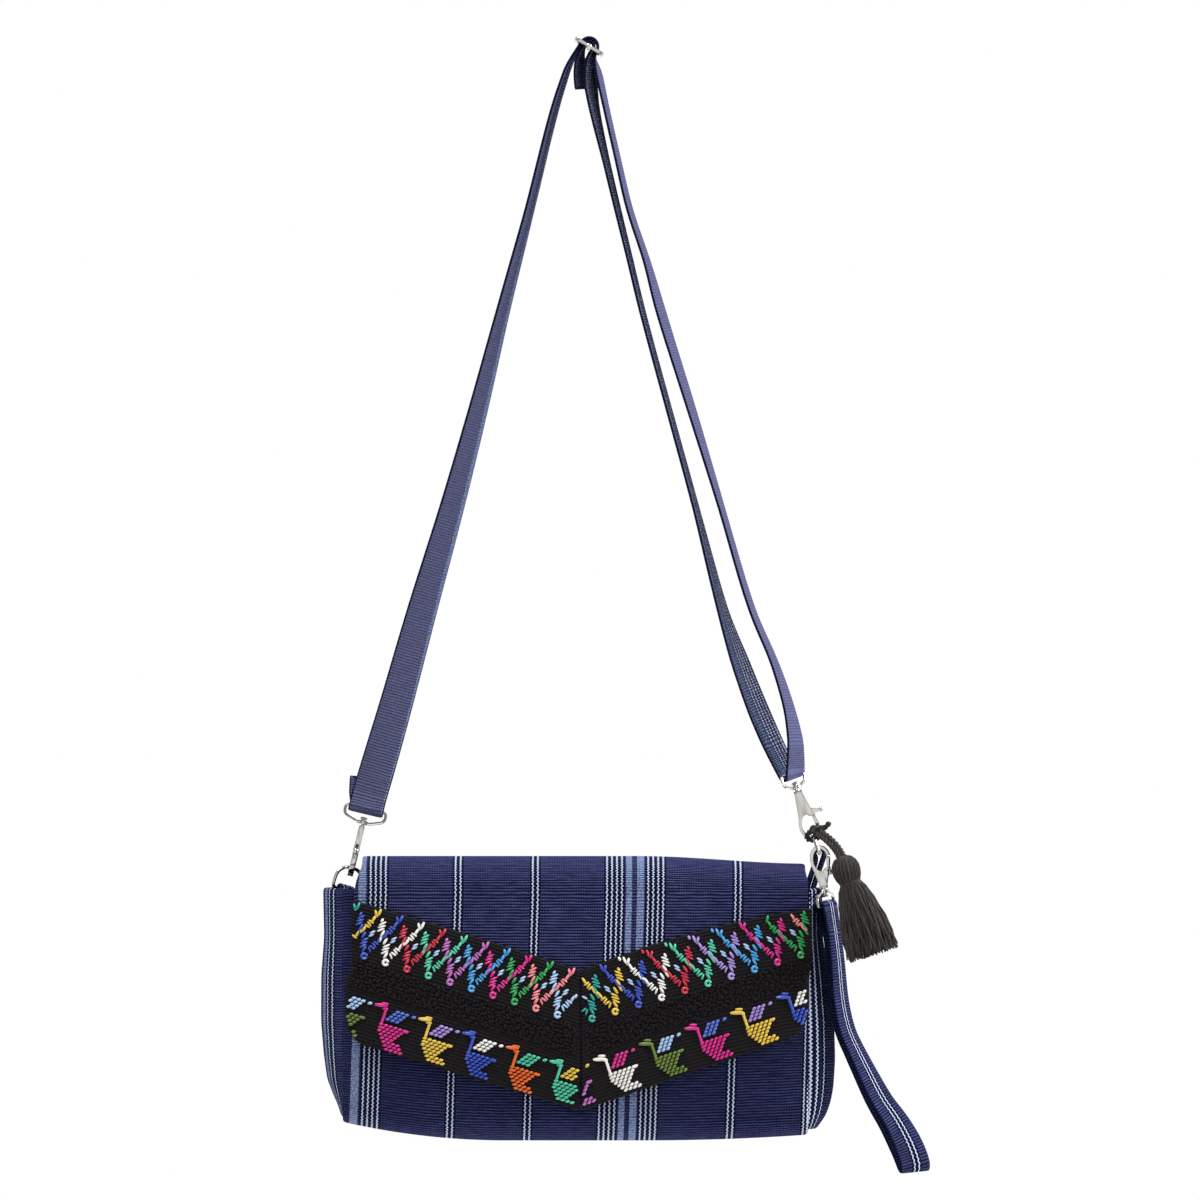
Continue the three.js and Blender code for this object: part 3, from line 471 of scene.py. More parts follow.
def mend(obj, operator, **settings):
    """Run one mesh operator on every point of a piece, and turn its faces outwards."""
    pick(obj)
    bpy.ops.object.mode_set(mode="EDIT")
    bpy.ops.mesh.select_all(action="SELECT")
    operator(**settings)
    bpy.ops.mesh.normals_make_consistent(inside=False)
    bpy.ops.object.mode_set(mode="OBJECT")
    return obj


def settle(obj, name, finish, body="bag", nodes=(), angle=60):
    """Name a finished piece, give it its finish, and let it ride on its body in place of its solids."""
    pick(obj)
    bpy.ops.object.shade_smooth_by_angle(angle=math.radians(angle))
    obj.name = name
    obj.data.name = name
    obj.data.materials.clear()
    obj.data.materials.append(finish)
    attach(obj, body)
    if nodes:
        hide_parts(*nodes)
    print(name, "has", len(obj.data.polygons), "faces")


# %% Sheets of cloth
def shaped_grid(columns, rows, place):
    """A grid whose point at (u, v), both 0 to 1, moves to place(u, v): a point and its cloth coordinates."""
    bpy.ops.mesh.primitive_grid_add(x_subdivisions=columns, y_subdivisions=rows, size=1)
    obj = bpy.context.object
    threads = obj.data.attributes.new("cloth", "FLOAT_VECTOR", "POINT")
    for vertex in obj.data.vertices:
        point, thread = place(vertex.co.x + 0.5, vertex.co.y + 0.5)
        vertex.co = Vector(point) * MM
        threads.data[vertex.index].vector = thread
    return obj


def thicken(obj, thickness):
    """Cloth of a real thickness with a soft rim."""
    modify(obj, "SOLIDIFY", thickness=thickness * MM, offset=0)
    return modify(obj, "SUBSURF", levels=1, render_levels=1)


def lerp(a, b, t):
    return a + (b - a) * t


def smoothstep(value, low, high):
    t = np.clip((value - low) / (high - low), 0, 1)
    return t * t * (3 - 2 * t)


# %% [markdown]
# ## Body and side panels
# One strip of cloth makes the front, the base and the back, and a soft side panel closes each end. The
# filled bag swells a little in the middle, its base corners are round, and its ends curl up. A cloth
# simulation could fill it, but the bag is almost flat and its outline is known, so the sheet is laid on a
# formula with a gentle ripple. Flap and bands follow the same ripple and stay clear of it. The side
# panels' edges reach into the wall, as a sewn seam does, so that no light comes through.

# %% Shape of the body
CLOTH = 2
PANEL_WIDTH = 243
PANEL_X = -3
BASE_Z = -565
FRONT_HEIGHT = 131
BACK_HEIGHT = 129
BASE_DEPTH = 50
MOUTH_DEPTH = 40
BASE_CORNER = 14
FRONT_SWELL = 5
RIPPLE = 0.7
BASE_RISE = {"left": 9.7, "right": 3, "starts": 0.3, "fades": 70}
WARP_LEAN = 0.03


def half_depth(z):
    return lerp(BASE_DEPTH, MOUTH_DEPTH, np.clip(z / FRONT_HEIGHT, 0, None) ** 1.6) / 2


def across_panel(x):
    return np.clip((x - PANEL_X) / (PANEL_WIDTH / 2), -1, 1)


def swell(x, z):
    rise = np.sin(np.pi * np.clip(z / FRONT_HEIGHT, 0, 1)) ** 0.8
    ripple = RIPPLE * np.sin(x / 24 + 0.4) * np.cos(z / 17 - x / 55)
    return (FRONT_SWELL * (1 - across_panel(x) ** 2) + ripple * (1 - across_panel(x) ** 8)) * rise


def drape(x, y, z):
    """A point of the body; the ends of the base curl up, more on the left."""
    s = across_panel(x)
    end = max(0, (abs(s) - BASE_RISE["starts"]) / (1 - BASE_RISE["starts"])) ** 2
    rise = BASE_RISE["left" if s < 0 else "right"] * end
    return Vector((x, y, BASE_Z + z + rise * max(0, 1 - z / BASE_RISE["fades"])))


# %% Front, base and back
WALL_FRONT = FRONT_HEIGHT - BASE_CORNER
WALL_BACK = BACK_HEIGHT - BASE_CORNER
FOOT = BASE_DEPTH / 2 - BASE_CORNER
BEND = BASE_CORNER * math.pi / 2
PANEL_LENGTH = WALL_FRONT + BEND + 2 * FOOT + BEND + WALL_BACK


def panel_profile(length):
    """Depth, height and side of the strip at a length from its front edge; it mirrors about the base."""
    from_middle = length - WALL_FRONT - BEND - FOOT
    side = math.copysign(1, from_middle)
    out = abs(from_middle)
    if out < FOOT:
        return out, 0, side
    up = out - FOOT
    if up < BEND:
        angle = up / BASE_CORNER
        return FOOT + BASE_CORNER * math.sin(angle), BASE_CORNER * (1 - math.cos(angle)), side
    z = BASE_CORNER + up - BEND
    return half_depth(z), z, side


def panel_place(u, v):
    x = PANEL_X + PANEL_WIDTH * (u - 0.5)
    length = v * PANEL_LENGTH
    depth, z, side = panel_profile(length)
    thread = (x + WARP_LEAN * (length + 20), length, -1)
    return drape(x, side * (depth + swell(x, z)), z), thread


body = thicken(shaped_grid(60, 78, panel_place), CLOTH)
settle(body, "body_cloth", body_cotton, nodes=["body_panel"])

# %% Side panels
SEAM_INSET = 1.1
GUSSET_EDGE = 2.5
GUSSET_FOOT = 2.0
# z above the base, bulge on the left, bulge on the right
GUSSET_BULGE = [
    (3, 0, 3.5), (8, 1.4, 8), (16, 4.4, 11), (25, 7.4, 12.6), (40, 9.2, 13.5), (60, 10.6, 13),
    (85, 10.5, 10), (105, 9, 7), (131, 9.5, 6.6),
]


def gusset_place(sign):
    heights = [row[0] for row in GUSSET_BULGE]
    bulges = [row[1 if sign < 0 else 2] for row in GUSSET_BULGE]

    def place(u, v):
        z = lerp(GUSSET_FOOT, FRONT_HEIGHT, v)
        corner = BASE_CORNER - SEAM_INSET
        if z < BASE_CORNER:
            room = FOOT + math.sqrt(corner**2 - (BASE_CORNER - z) ** 2)
        else:
            room = half_depth(z) - SEAM_INSET
        bulge = np.interp(z, heights, bulges) + GUSSET_EDGE
        reach = PANEL_WIDTH / 2 - GUSSET_EDGE + bulge * math.sin(math.pi * u**0.9) ** 0.75
        thread = (u * BASE_DEPTH, z, -1)
        return drape(PANEL_X + sign * reach, room * (2 * u - 1), z), thread

    return place


for sign, side, finish in ((-1, "left", left_side_cotton), (1, "right", right_side_cotton)):
    gusset = thicken(shaped_grid(20, 34, gusset_place(sign)), CLOTH)
    settle(gusset, f"side_cloth_{side}", finish, nodes=[f"gusset_{side}"])

# %% [markdown]
# ## Flap and bands
# The flap is sewn to the back, arches over the mouth and hangs down the front to a V. Two black bands are
# sewn on it and meet in a mitre. Both are sheets on formulas: the flap's rows follow the arch and the V,
# and the weave still counts from the top, so that the ribs stay level while the edge slants.

# %% Shape of the flap
FLAP_CLOTH = 1.8
FLAP_CLEAR = 0.8
FLAP_TOP = 147.5
FLAP_FOOT = 127
FLAP_LAP = 14
ARCH_SQUARENESS = 0.75
ARCH_LENGTH = 76
TRIM_CLOTH = 1.6
TRIM_GAP = 0.4
V_TOP = 88.7
V_TIP = 15.4
BAND_CORNER = 10.5
SEAM_GAP = 0.3
EDGE_STEP = (0.45, 0.7)
BAND = {
    "left": {"edge": -119.8, "lower_edge": -123, "upper": 0.33, "bend": 0.0002, "lower": 0.3},
    "right": {"edge": 120.4, "lower_edge": 119, "upper": 0.4, "bend": 0.0011, "lower": 0.344},
}
# share of the way down, left edge, right edge
FLAP_EDGES = [
    (0, -116, 117), (0.35, -114.4, 117.2), (0.45, -118.4, 119.6), (0.6, -119.4, 120),
    (0.8, -119.4, 119.6), (1, -121, 117.6),
]
# the grid's rows: up to here the lap on the back, then the arch, then the front
LAP_SHARE = 0.07
ARCH_SHARE = 0.36
ARCH_EDGE = (0.35, 0.45)
FLAP_HEM = 1.2
# the top sinks towards the right, between these two x
FLAP_SAG = 4
SAG_OVER = (30, 118)


def flap_front(x, z):
    return -(half_depth(z) + swell(x, z)) - CLOTH / 2 - FLAP_CLEAR - FLAP_CLOTH / 2


def trim_front(x, z):
    return flap_front(x, z) - FLAP_CLOTH / 2 - TRIM_GAP - TRIM_CLOTH / 2


def band_upper(x):
    band = BAND["left" if x < 0 else "right"]
    return V_TOP + band["upper"] * abs(x) - band["bend"] * x * x


def band_lower(x):
    band = BAND["left" if x < 0 else "right"]
    to_edge = max(0, abs(band["lower_edge"]) - abs(x))
    corner = max(0, BAND_CORNER - to_edge)
    return V_TIP + band["lower"] * abs(x) + BAND_CORNER - math.sqrt(BAND_CORNER**2 - corner**2)


def band_edge(side, share):
    """Where the outer edge of a band lies, at a share of the way down."""
    return lerp(BAND[side]["edge"], BAND[side]["lower_edge"], smoothstep(share, *EDGE_STEP))


# %% Flap
def flap_edge(along, x_side):
    shares = [row[0] for row in FLAP_EDGES]
    return np.interp(along, shares, [row[1 if x_side < 0 else 2] for row in FLAP_EDGES])


def flap_place(u, v):
    side = 2 * u - 1
    if v < LAP_SHARE:
        x = abs(side) * flap_edge(0, side)
        drop = FLAP_LAP * (1 - v / LAP_SHARE)
        z = FLAP_FOOT - drop
        point = Vector((x, -flap_front(x, z), BASE_Z + z))
        return point, (x, -ARCH_LENGTH - drop, -1)
    if v < ARCH_SHARE:
        arch = (v - LAP_SHARE) / (ARCH_SHARE - LAP_SHARE)
        x = abs(side) * flap_edge(lerp(*ARCH_EDGE, smoothstep(arch, 0.7, 1)), side)
        c = math.cos(math.pi * arch)
        reach = math.copysign(abs(c) ** ARCH_SQUARENESS, c)
        top = FLAP_TOP - FLAP_SAG * smoothstep(x, *SAG_OVER) - FLAP_CLOTH / 2
        z = lerp(FLAP_FOOT, top, abs(math.sin(math.pi * arch)) ** ARCH_SQUARENESS)
        point = Vector((x, -flap_front(x, FLAP_FOOT) * reach, BASE_Z + z))
        return point, (x, ARCH_LENGTH * (arch - 1), -1)
    front = (v - ARCH_SHARE) / (1 - ARCH_SHARE)
    x = abs(side) * flap_edge(lerp(ARCH_EDGE[1], 1, front), side)
    z = lerp(FLAP_FOOT, band_lower(x) + FLAP_HEM, front)
    point = Vector((x, flap_front(x, z), BASE_Z + z))
    return point, (x + WARP_LEAN * (FLAP_FOOT - z), FLAP_FOOT - z, -1)


flap = thicken(shaped_grid(64, 62, flap_place), FLAP_CLOTH)
settle(flap, "flap_cloth", panel_cotton, nodes=["flap"])


# %% Bands
def band_place(side):
    sign = -1 if side == "left" else 1

    def place(u, v):
        x = lerp(sign * SEAM_GAP / 2, band_edge(side, v), u)
        upper = band_upper(x)
        lower = band_lower(x)
        z = lerp(upper, lower, v)
        return Vector((x, trim_front(x, z), BASE_Z + z)), (x, v * (upper - lower), 0)

    return place


for side in ("left", "right"):
    band = thicken(shaped_grid(44, 26, band_place(side)), TRIM_CLOTH)
    settle(band, f"band_cloth_{side}", band_cotton, nodes=[f"trim_{side}"])

# %% [markdown]
# ## Embroidery
# Three rows of figures run along each band. At the top are branching sprigs of slanted stitches, each with
# a ring at its tip, in the middle is a field of black knots, and below is a row of birds in counted
# stitches. Every stitch could be a curve object, but there are thousands, so one short thread is worked
# out for each kind, copied as arrays, laid on the band's own surface, and joined into one mesh.


# %% Threads as arrays
def unit_rows(rows):
    return rows / np.linalg.norm(rows, axis=1)[:, None]


def tube(points, radii, sides=6):
    """Points and faces of a round thread along points, with its section carried along without twist."""
    points = np.array(points, float)
    along = unit_rows(np.gradient(points, axis=0))
    side = np.array((0.2, 1.0, 0.1))
    angles = 2 * np.pi * np.arange(sides) / sides
    rings = []
    for point, way, radius in zip(points, along, np.broadcast_to(radii, len(points))):
        side = side - way * side.dot(way)
        side /= np.linalg.norm(side)
        other = np.cross(way, side)
        rings.append(point + radius * (np.outer(np.cos(angles), side) + np.outer(np.sin(angles), other)))
    faces = []
    for i in range(len(points) - 1):
        for j in range(sides):
            k = (j + 1) % sides
            faces.append((i * sides + j, i * sides + k, (i + 1) * sides + k, (i + 1) * sides + j))
    faces.append(tuple(range(sides - 1, -1, -1)))
    faces.append(tuple(range((len(points) - 1) * sides, len(points) * sides)))
    return np.concatenate(rings), faces


def joined(parts):
    """One mesh object from parts (points in mm, faces, colour)."""
    points = []
    faces = []
    colours = []
    start = 0
    for part_points, part_faces, colour in parts:
        points.append(part_points)
        faces += [tuple(start + i for i in face) for face in part_faces]
        colours.append(np.tile(colour, (len(part_points), 1)))
        start += len(part_points)
    mesh = bpy.data.meshes.new("threads")
    mesh.from_pydata((np.concatenate(points) * MM).tolist(), [], faces)
    thread = mesh.attributes.new("thread", "FLOAT_COLOR", "POINT")
    thread.data.foreach_set("color", np.concatenate(colours).ravel())
    obj = bpy.data.objects.new("threads", mesh)
    bpy.context.scene.collection.objects.link(obj)
    return obj


# %% Kinds of stitch
# A stitch lies in its own plane: x to the right, y out of the cloth, z up.
BLUNT = np.array((0.55, 0.92, 1.0, 0.92, 0.55))


def short_stitch(length, width):
    """A straight stitch, plump to its blunt ends, along z."""
    steps = np.linspace(-0.5, 0.5, len(BLUNT))
    points = [(0, width * 0.3 * (1 - 4 * t * t), length * t) for t in steps]
    return tube(points, BLUNT * width / 2)


def ring_stitch(size, radius):
    """A thread laid in a ring that nearly closes."""
    turns = np.linspace(0.1, 1.9 * math.pi, 12)
    return tube([(size * math.cos(a), radius, size * math.sin(a)) for a in turns], radius, 5)


STITCHES = {
    "slash": short_stitch(3.7, 1.5), "long": short_stitch(4.0, 1.2), "dash": short_stitch(3.0, 1.2),
    "neck": short_stitch(2.9, 1.6), "dot": short_stitch(2.0, 1.5), "bead": short_stitch(2.05, 1.6),
    "head": short_stitch(6.6, 2.0), "knot": short_stitch(1.8, 1.2), "ring": ring_stitch(1.25, 0.75),
}


def lay(kind, x, z, turn, colour):
    """A stitch at x, z on the band, turned clockwise by degrees."""
    points, faces = STITCHES[kind]
    c = math.cos(math.radians(turn))
    s = math.sin(math.radians(turn))
    px = x + points[:, 0] * c + points[:, 2] * s
    pz = z - points[:, 0] * s + points[:, 2] * c
    py = trim_front(px, pz) - TRIM_CLOTH / 2 - points[:, 1]
    return np.column_stack((px, py, BASE_Z + pz)), faces, linear(colour)


print("kinds of stitch:", ", ".join(STITCHES))

# %% Sprigs
THREADS = {
    "teal": "#1E9C93", "yellow": "#E2C04A", "royal": "#2F4CB8", "white": "#EFEDE8", "red": "#C3243F",
    "mint": "#4FC3A1", "orchid": "#B865B5", "azure": "#3F9BD8", "magenta": "#CF1F86", "green": "#1F9A4C",
    "salmon": "#E8838A", "pale": "#A8C6EC", "olive": "#5F7B2C", "lavender": "#A58AD2",
    "orange": "#E0661F", "blue": "#4E6BC8",
}
# figure, mm to the right of the sprig's tip, mm above it
SPRIG = [
    ("ring", 0, 0), ("slash", 0, 3.7), ("back", 2.8, 3.3), ("steps", 0, 7.0), ("curl", 5.2, 5.6),
    ("slash", -0.2, 11.0), ("slash", -2.6, 12.2), ("slash", -1.6, 15.0), ("steps", -2.0, 18.6),
    ("dot", -1.8, 21.8), ("slash", 7.8, 8.2), ("dot", 9.5, 9.6), ("slash", 11.2, 10.8),
    ("curl", 13.9, 13.3), ("slash", 16.2, 15.9), ("leaf", 18.4, 18.8), ("dot", 22.0, 20.0),
    ("eye", 4.1, 11.6),
]
# the strokes of each figure: stitch, turn, mm to the right, mm up
STROKES = {
    "ring": [("ring", 0, 0, 0)], "slash": [("slash", 33, 0, 0)], "back": [("dash", -20, 0, 0)],
    "dot": [("dot", 30, 0, 0)],
    "steps": [("long", 66, 0.45, 1.6), ("long", 74, 0, 0), ("long", 66, -0.45, -1.6)],
    "curl": [("dash", 125, 1.05, 1.1), ("dash", 142, 0, 0), ("dash", 125, -1.05, -1.1)],
    "leaf": [("slash", -14, -0.9, -0.2), ("slash", 24, 0.9, 0.4)],
    "eye": [("dash", 64, 0.3, 0.75), ("dash", 64, -0.3, -0.75)],
}
SPRIG_ROWS = {
    "left": {"tip": (-113.0, 96.0), "step": (11.2, -3.375), "first": -2},
    "right": {"tip": (5.76, 63.6), "step": (12.09, 3.66), "first": 0},
}
SPRIG_COLOURS = {
    "left": "teal yellow royal white red mint orchid azure magenta green salmon pale",
    "right": "teal yellow royal white red mint lavender azure magenta green salmon",
}
STITCH_MARGIN = 1.6
MITRE_MARGIN = 1.4


# %% Stitching sprigs
def on_band(side, x, z):
    """Whether a stitch lies inside its own band, clear of the edges and the mitre."""
    upper = band_upper(x)
    lower = band_lower(x)
    edge = band_edge(side, (upper - z) / (upper - lower))
    from_seam = x * math.copysign(1, edge)
    if not MITRE_MARGIN < from_seam < abs(edge) - STITCH_MARGIN:
        return False
    return lower + STITCH_MARGIN < z < upper - STITCH_MARGIN


def sprigs(side):
    row = SPRIG_ROWS[side]
    flip = -1 if side == "right" else 1
    parts = []
    for i, name in enumerate(SPRIG_COLOURS[side].split()):
        j = row["first"] + i
        for kind, right, up in SPRIG:
            colour = THREADS["pale" if kind == "eye" else name]
            for stitch, turn, aside, higher in STROKES[kind]:
                x = row["tip"][0] + row["step"][0] * j + flip * (right + aside)
                z = row["tip"][1] + row["step"][1] * j + up + higher
                if on_band(side, x, z):
                    parts.append(lay(stitch, x, z, flip * turn, colour))
    return parts


# %% Birds
# a bird in counted stitches: h for its body and neck, w for its wing
BIRD = [
    "..................",
    "..........w.w.w..w",
    ".....h...w.w.w....",
    ".....h..w.w.w.....",
    ".....h.w.w.w......",
    ".....h............",
    ".....h.h.h.h.h.hh.",
    ".....hh.h.h.h.h...",
    ".....h.h.h.h.h....",
    "......h.h.h.h.....",
    ".......h.h.h......",
    "........h.h.h.h...",
    ".........h.h.h.h..",
    "..........h.h.h.h.",
]
# stitch, mm along the band, mm down: the head with its beak to the left, then the neck
BIRD_HEAD = [("head", 4.9, 2.8), ("slash", 6.5, 1.5), ("neck", 7.3, 3.9)]
NECK_COLUMN = 5
NECK_ROWS = 6
BIRD_TURN = {"head": 92, "neck": 8, "bead": 68}
HEAD_FOLLOWS = 0.3
BIRD_COLUMN = 1.256
BIRD_ROW = 1.675
BIRD_MARGIN = (1.57, 2.09)
BIRD_ROWS = {
    "left": {"first": (-107.8, 74.6), "step": (22.76, -7.36), "slope": -17.5},
    "right": {"first": (4.13, 43.5), "step": (23.81, 8.06), "slope": 18.5},
}
BIRD_COLOURS = {
    "left": "olive/pale magenta/blue yellow/lavender royal/white orange/mint mint/yellow",
    "right": "orchid/yellow white/magenta olive/pale magenta/blue yellow/lavender royal/white",
}


# %% Stitching birds
def birds(side):
    row = BIRD_ROWS[side]
    slope = math.radians(row["slope"])
    parts = []

    def stitch(kind, start, a, b, turn, colour):
        x = start[0] + a * math.cos(slope) + b * math.sin(slope)
        z = start[1] + a * math.sin(slope) - b * math.cos(slope)
        if on_band(side, x, z):
            parts.append(lay(kind, x, z, turn, THREADS[colour]))

    for i, pair in enumerate(BIRD_COLOURS[side].split()):
        body_colour, wing_colour = pair.split("/")
        start = [row["first"][axis] + row["step"][axis] * (i - 1) for axis in (0, 1)]
        for kind, a, b in BIRD_HEAD:
            turn = BIRD_TURN["head"] - HEAD_FOLLOWS * row["slope"]
            stitch(kind, start, a, b, turn, body_colour)
        for r, line in enumerate(BIRD):
            for k, mark in enumerate(line):
                a = BIRD_MARGIN[0] + BIRD_COLUMN * k
                b = BIRD_MARGIN[1] + BIRD_ROW * r
                if mark == ".":
                    continue
                on_neck = mark == "h" and k == NECK_COLUMN and r < NECK_ROWS
                kind = "neck" if on_neck else "bead"
                colour = body_colour if mark == "h" else wing_colour
                stitch(kind, start, a, b, BIRD_TURN[kind] - row["slope"], colour)
    return parts


# %% Black knots
KNOT_FIELD = {"middle": 51, "left": 0.307, "right": 0.325, "half": 6.6, "rows": 8, "length": 124}
KNOT_NUDGE = (0.9, 0.7)
KNOT_PITCH = 1.95
KNOT_BLACK = "#1C181C"


def black_knots(side):
    """Knots in rough rows, each nudged and turned by a seeded chance, the same on every run."""
    sign = -1 if side == "left" else 1
    slope = KNOT_FIELD[side]
    chance = random.Random(5)
    parts = []
    for row in range(KNOT_FIELD["rows"]):
        for column in range(int(KNOT_FIELD["length"] / KNOT_PITCH)):
            along = KNOT_PITCH * (column + 0.6) + chance.uniform(-KNOT_NUDGE[0], KNOT_NUDGE[0])
            x = sign * along
            share = 2 * row / (KNOT_FIELD["rows"] - 1) - 1
            z = KNOT_FIELD["middle"] + slope * along + KNOT_FIELD["half"] * share
            z += chance.uniform(-KNOT_NUDGE[1], KNOT_NUDGE[1])
            turn = chance.uniform(-90, 90)
            if on_band(side, x, z):
                parts.append(lay("knot", x, z, turn, KNOT_BLACK))
    return parts


# %% Joined embroidery
for side in ("left", "right"):
    figures = joined(sprigs(side) + birds(side) + black_knots(side))
    settle(figures, f"embroidery_{side}", thread_cotton)

# %% [markdown]
# ## Rings and clasps
# Two D-rings of steel wire hang on the tabs. A swivel clasp hooks on each, and a third one holds the wrist
# loop. A wire piece is an outline that is turned into a curve, given a round section and made a mesh again.
# A clasp's hook is a flat casting: its outline is filled, thickened, cut with boxes, and its edges rounded.
# The levers ride on bodies of their own, because they turn.

# %% Directions and frames
# straps and tabs are laid round WIRE; the drawn wires are thinner, as in the photograph
WIRE = 1.1
EYE_WIRE = 0.8
RING_WIRE = 0.95
RING_HALF = 8.1
RING_HEIGHT = 12
HOOK_THICK = 3
HOOK_TIP = 22.8
HOOK_SEAT = 18.6
STRAP_SHANK = 4.4
EYE_BAR = 9
EYE_HALF = 10.9
PIVOT_X = 2.2
PIVOT_Z = -8.6


def lean(degrees):
    """Unit direction in the XZ plane, leaning from +Z towards +X."""
    return Vector((math.sin(math.radians(degrees)), 0, math.cos(math.radians(degrees))))


def heading(degrees):
    return Vector((math.cos(math.radians(degrees)), math.sin(math.radians(degrees)), 0))


def arc(start, stop, steps):
    """Angles in radians, from start to stop in degrees."""
    return [math.radians(lerp(start, stop, i / steps)) for i in range(steps + 1)]


def framed(position, x_axis, y_axis, z_axis):
    """The matrix of a place with these axes."""
    columns = [axis.to_4d() for axis in (x_axis, y_axis, z_axis)]
    for column in columns:
        column[3] = 0
    return Matrix((*columns, position.to_4d())).transposed()


def ring_frame(bar, up, across):
    x = (across - up * across.dot(up)).normalized()
    return framed(bar, x, up.cross(x), up)


def clasp_frame(swivel, tipwards, face):
    z = -tipwards
    y = (face - z * face.dot(z)).normalized()
    return framed(swivel, y.cross(z), y, z)


def to_place(obj, matrix):
    """Move a piece that was modelled in mm at the origin to its frame, and apply the move."""
    pick(obj)
    obj.matrix_world = Matrix.Scale(MM, 4) @ matrix
    bpy.ops.object.transform_apply(location=True, rotation=True, scale=True)
    return obj


# %% Places of rings and clasps
ring_left_at = ring_frame(Vector((-123.4, 0, -435.4)), lean(17), heading(30))
ring_right_at = ring_frame(Vector((124.6, -6, -416)), lean(-20), heading(90))


def hung(ring, across, height_up, tipwards):
    """The swivel of a clasp whose hook holds a ring at that place."""
    return ring @ Vector((across, 0, height_up)) - tipwards * HOOK_SEAT


CLASPS = {
    "left": clasp_frame(hung(ring_left_at, 0, RING_HEIGHT, -lean(13.5)), -lean(13.5), heading(0)),
    "right": clasp_frame(hung(ring_right_at, 1.5, RING_HEIGHT, -lean(-19)), -lean(-19), heading(90)),
    "wrist": clasp_frame(hung(ring_right_at, -5.2, 0, lean(-7)), lean(-7), heading(-90)),
}
# the clasps of the shoulder strap have a longer neck than that of the wrist loop
SHANKS = {"left": STRAP_SHANK, "right": STRAP_SHANK, "wrist": 0}
EYE_TURN = {"left": 90, "right": 56, "wrist": -66}
EYES = {}
for key, at in CLASPS.items():
    turn = Matrix.Rotation(math.radians(EYE_TURN[key]), 4, "Z")
    EYES[key] = at @ Matrix.Translation((0, 0, SHANKS[key])) @ turn
print("left swivel at", [round(v, 1) for v in CLASPS["left"].translation])

# %% Wire, plates and turned pieces
# these pieces are modelled in mm, and so is the reach of their weld
WIRE_WELD = 0.001


def rounded(corners, steps):
    """Outline through corners (x, z, radius), each rounded by an arc."""
    outline = []
    for i, (x, z, radius) in enumerate(corners):
        corner = Vector((x, z))
        back = (Vector(corners[i - 1][:2]) - corner).normalized()
        ahead = (Vector(corners[(i + 1) % len(corners)][:2]) - corner).normalized()
        half = math.acos(back.dot(ahead)) / 2
        centre = corner + (back + ahead).normalized() * radius / math.sin(half)
        start = corner + back * radius / math.tan(half) - centre
        stop = corner + ahead * radius / math.tan(half) - centre
        turn = start.angle_signed(stop)
        for k in range(steps + 1):
            outline.append(tuple(centre + Matrix.Rotation(-turn * k / steps, 2) @ start))
    return outline


def outline_object(outline):
    """A closed outline in the local XZ plane, from a circle whose points are moved."""
    bpy.ops.mesh.primitive_circle_add(vertices=len(outline))
    obj = bpy.context.object
    for vertex, (x, z) in zip(obj.data.vertices, outline):
        vertex.co = (x, 0, z)
    return obj


def bent_wire(outline, radius):
    obj = outline_object(outline)
    bpy.ops.object.convert(target="CURVE")
    obj = bpy.context.object
    obj.data.bevel_depth = radius
    obj.data.bevel_resolution = 3
    bpy.ops.object.convert(target="MESH")
    obj = bpy.context.object
    return mend(obj, bpy.ops.mesh.remove_doubles, threshold=WIRE_WELD)


def plate(outline, thickness, holes=()):
    """A flat plate about y = 0: its outlines are joined, filled and thickened."""
    obj = outline_object(outline)
    loops = [outline_object(hole) for hole in holes]
    pick(obj)
    for loop in loops:
        loop.select_set(True)
    if loops:
        bpy.ops.object.join()
    mend(obj, bpy.ops.mesh.fill)
    return modify(obj, "SOLIDIFY", thickness=thickness, offset=0)


def box(lowest, highest):
    bpy.ops.mesh.primitive_cube_add(size=1)
    obj = bpy.context.object
    low = Vector(lowest)
    high = Vector(highest)
    for vertex in obj.data.vertices:
        vertex.co = [lerp(low[i], high[i], vertex.co[i] + 0.5) for i in range(3)]
    return obj


def turned(profile, sides=20):
    """A turned piece on the local Z axis from points (radius, z)."""
    bpy.ops.mesh.primitive_grid_add(x_subdivisions=sides, y_subdivisions=len(profile) - 1, size=1)
    obj = bpy.context.object
    for vertex in obj.data.vertices:
        angle = 2 * math.pi * (vertex.co.x + 0.5)
        radius, z = profile[round((vertex.co.y + 0.5) * (len(profile) - 1))]
        vertex.co = (radius * math.cos(angle), radius * math.sin(angle), z)
    return mend(obj, bpy.ops.mesh.remove_doubles, threshold=WIRE_WELD)


# %% Cutting and joining
def combine(base, tool, operation):
    """Join two solids or cut one with the other."""
    modify(base, "BOOLEAN", operation=operation, solver="EXACT", object=tool)
    bpy.data.objects.remove(tool)
    return base


def soften_edges(obj, width):
    corner = math.radians(35)
    return modify(obj, "BEVEL", width=width, segments=2, limit_method="ANGLE", angle_limit=corner)


# %% D-rings
RING_CORNERS = [
    (-RING_HALF, 0, 1.9), (RING_HALF, 0, 1.9), (RING_HALF, RING_HEIGHT, 6.6),
    (-RING_HALF, RING_HEIGHT, 6.6),
]
for side, at in (("left", ring_left_at), ("right", ring_right_at)):
    ring = to_place(bent_wire(rounded(RING_CORNERS, 8), RING_WIRE), at)
    settle(ring, f"d_ring_{side}", nickel, nodes=[f"ring_{side}"])

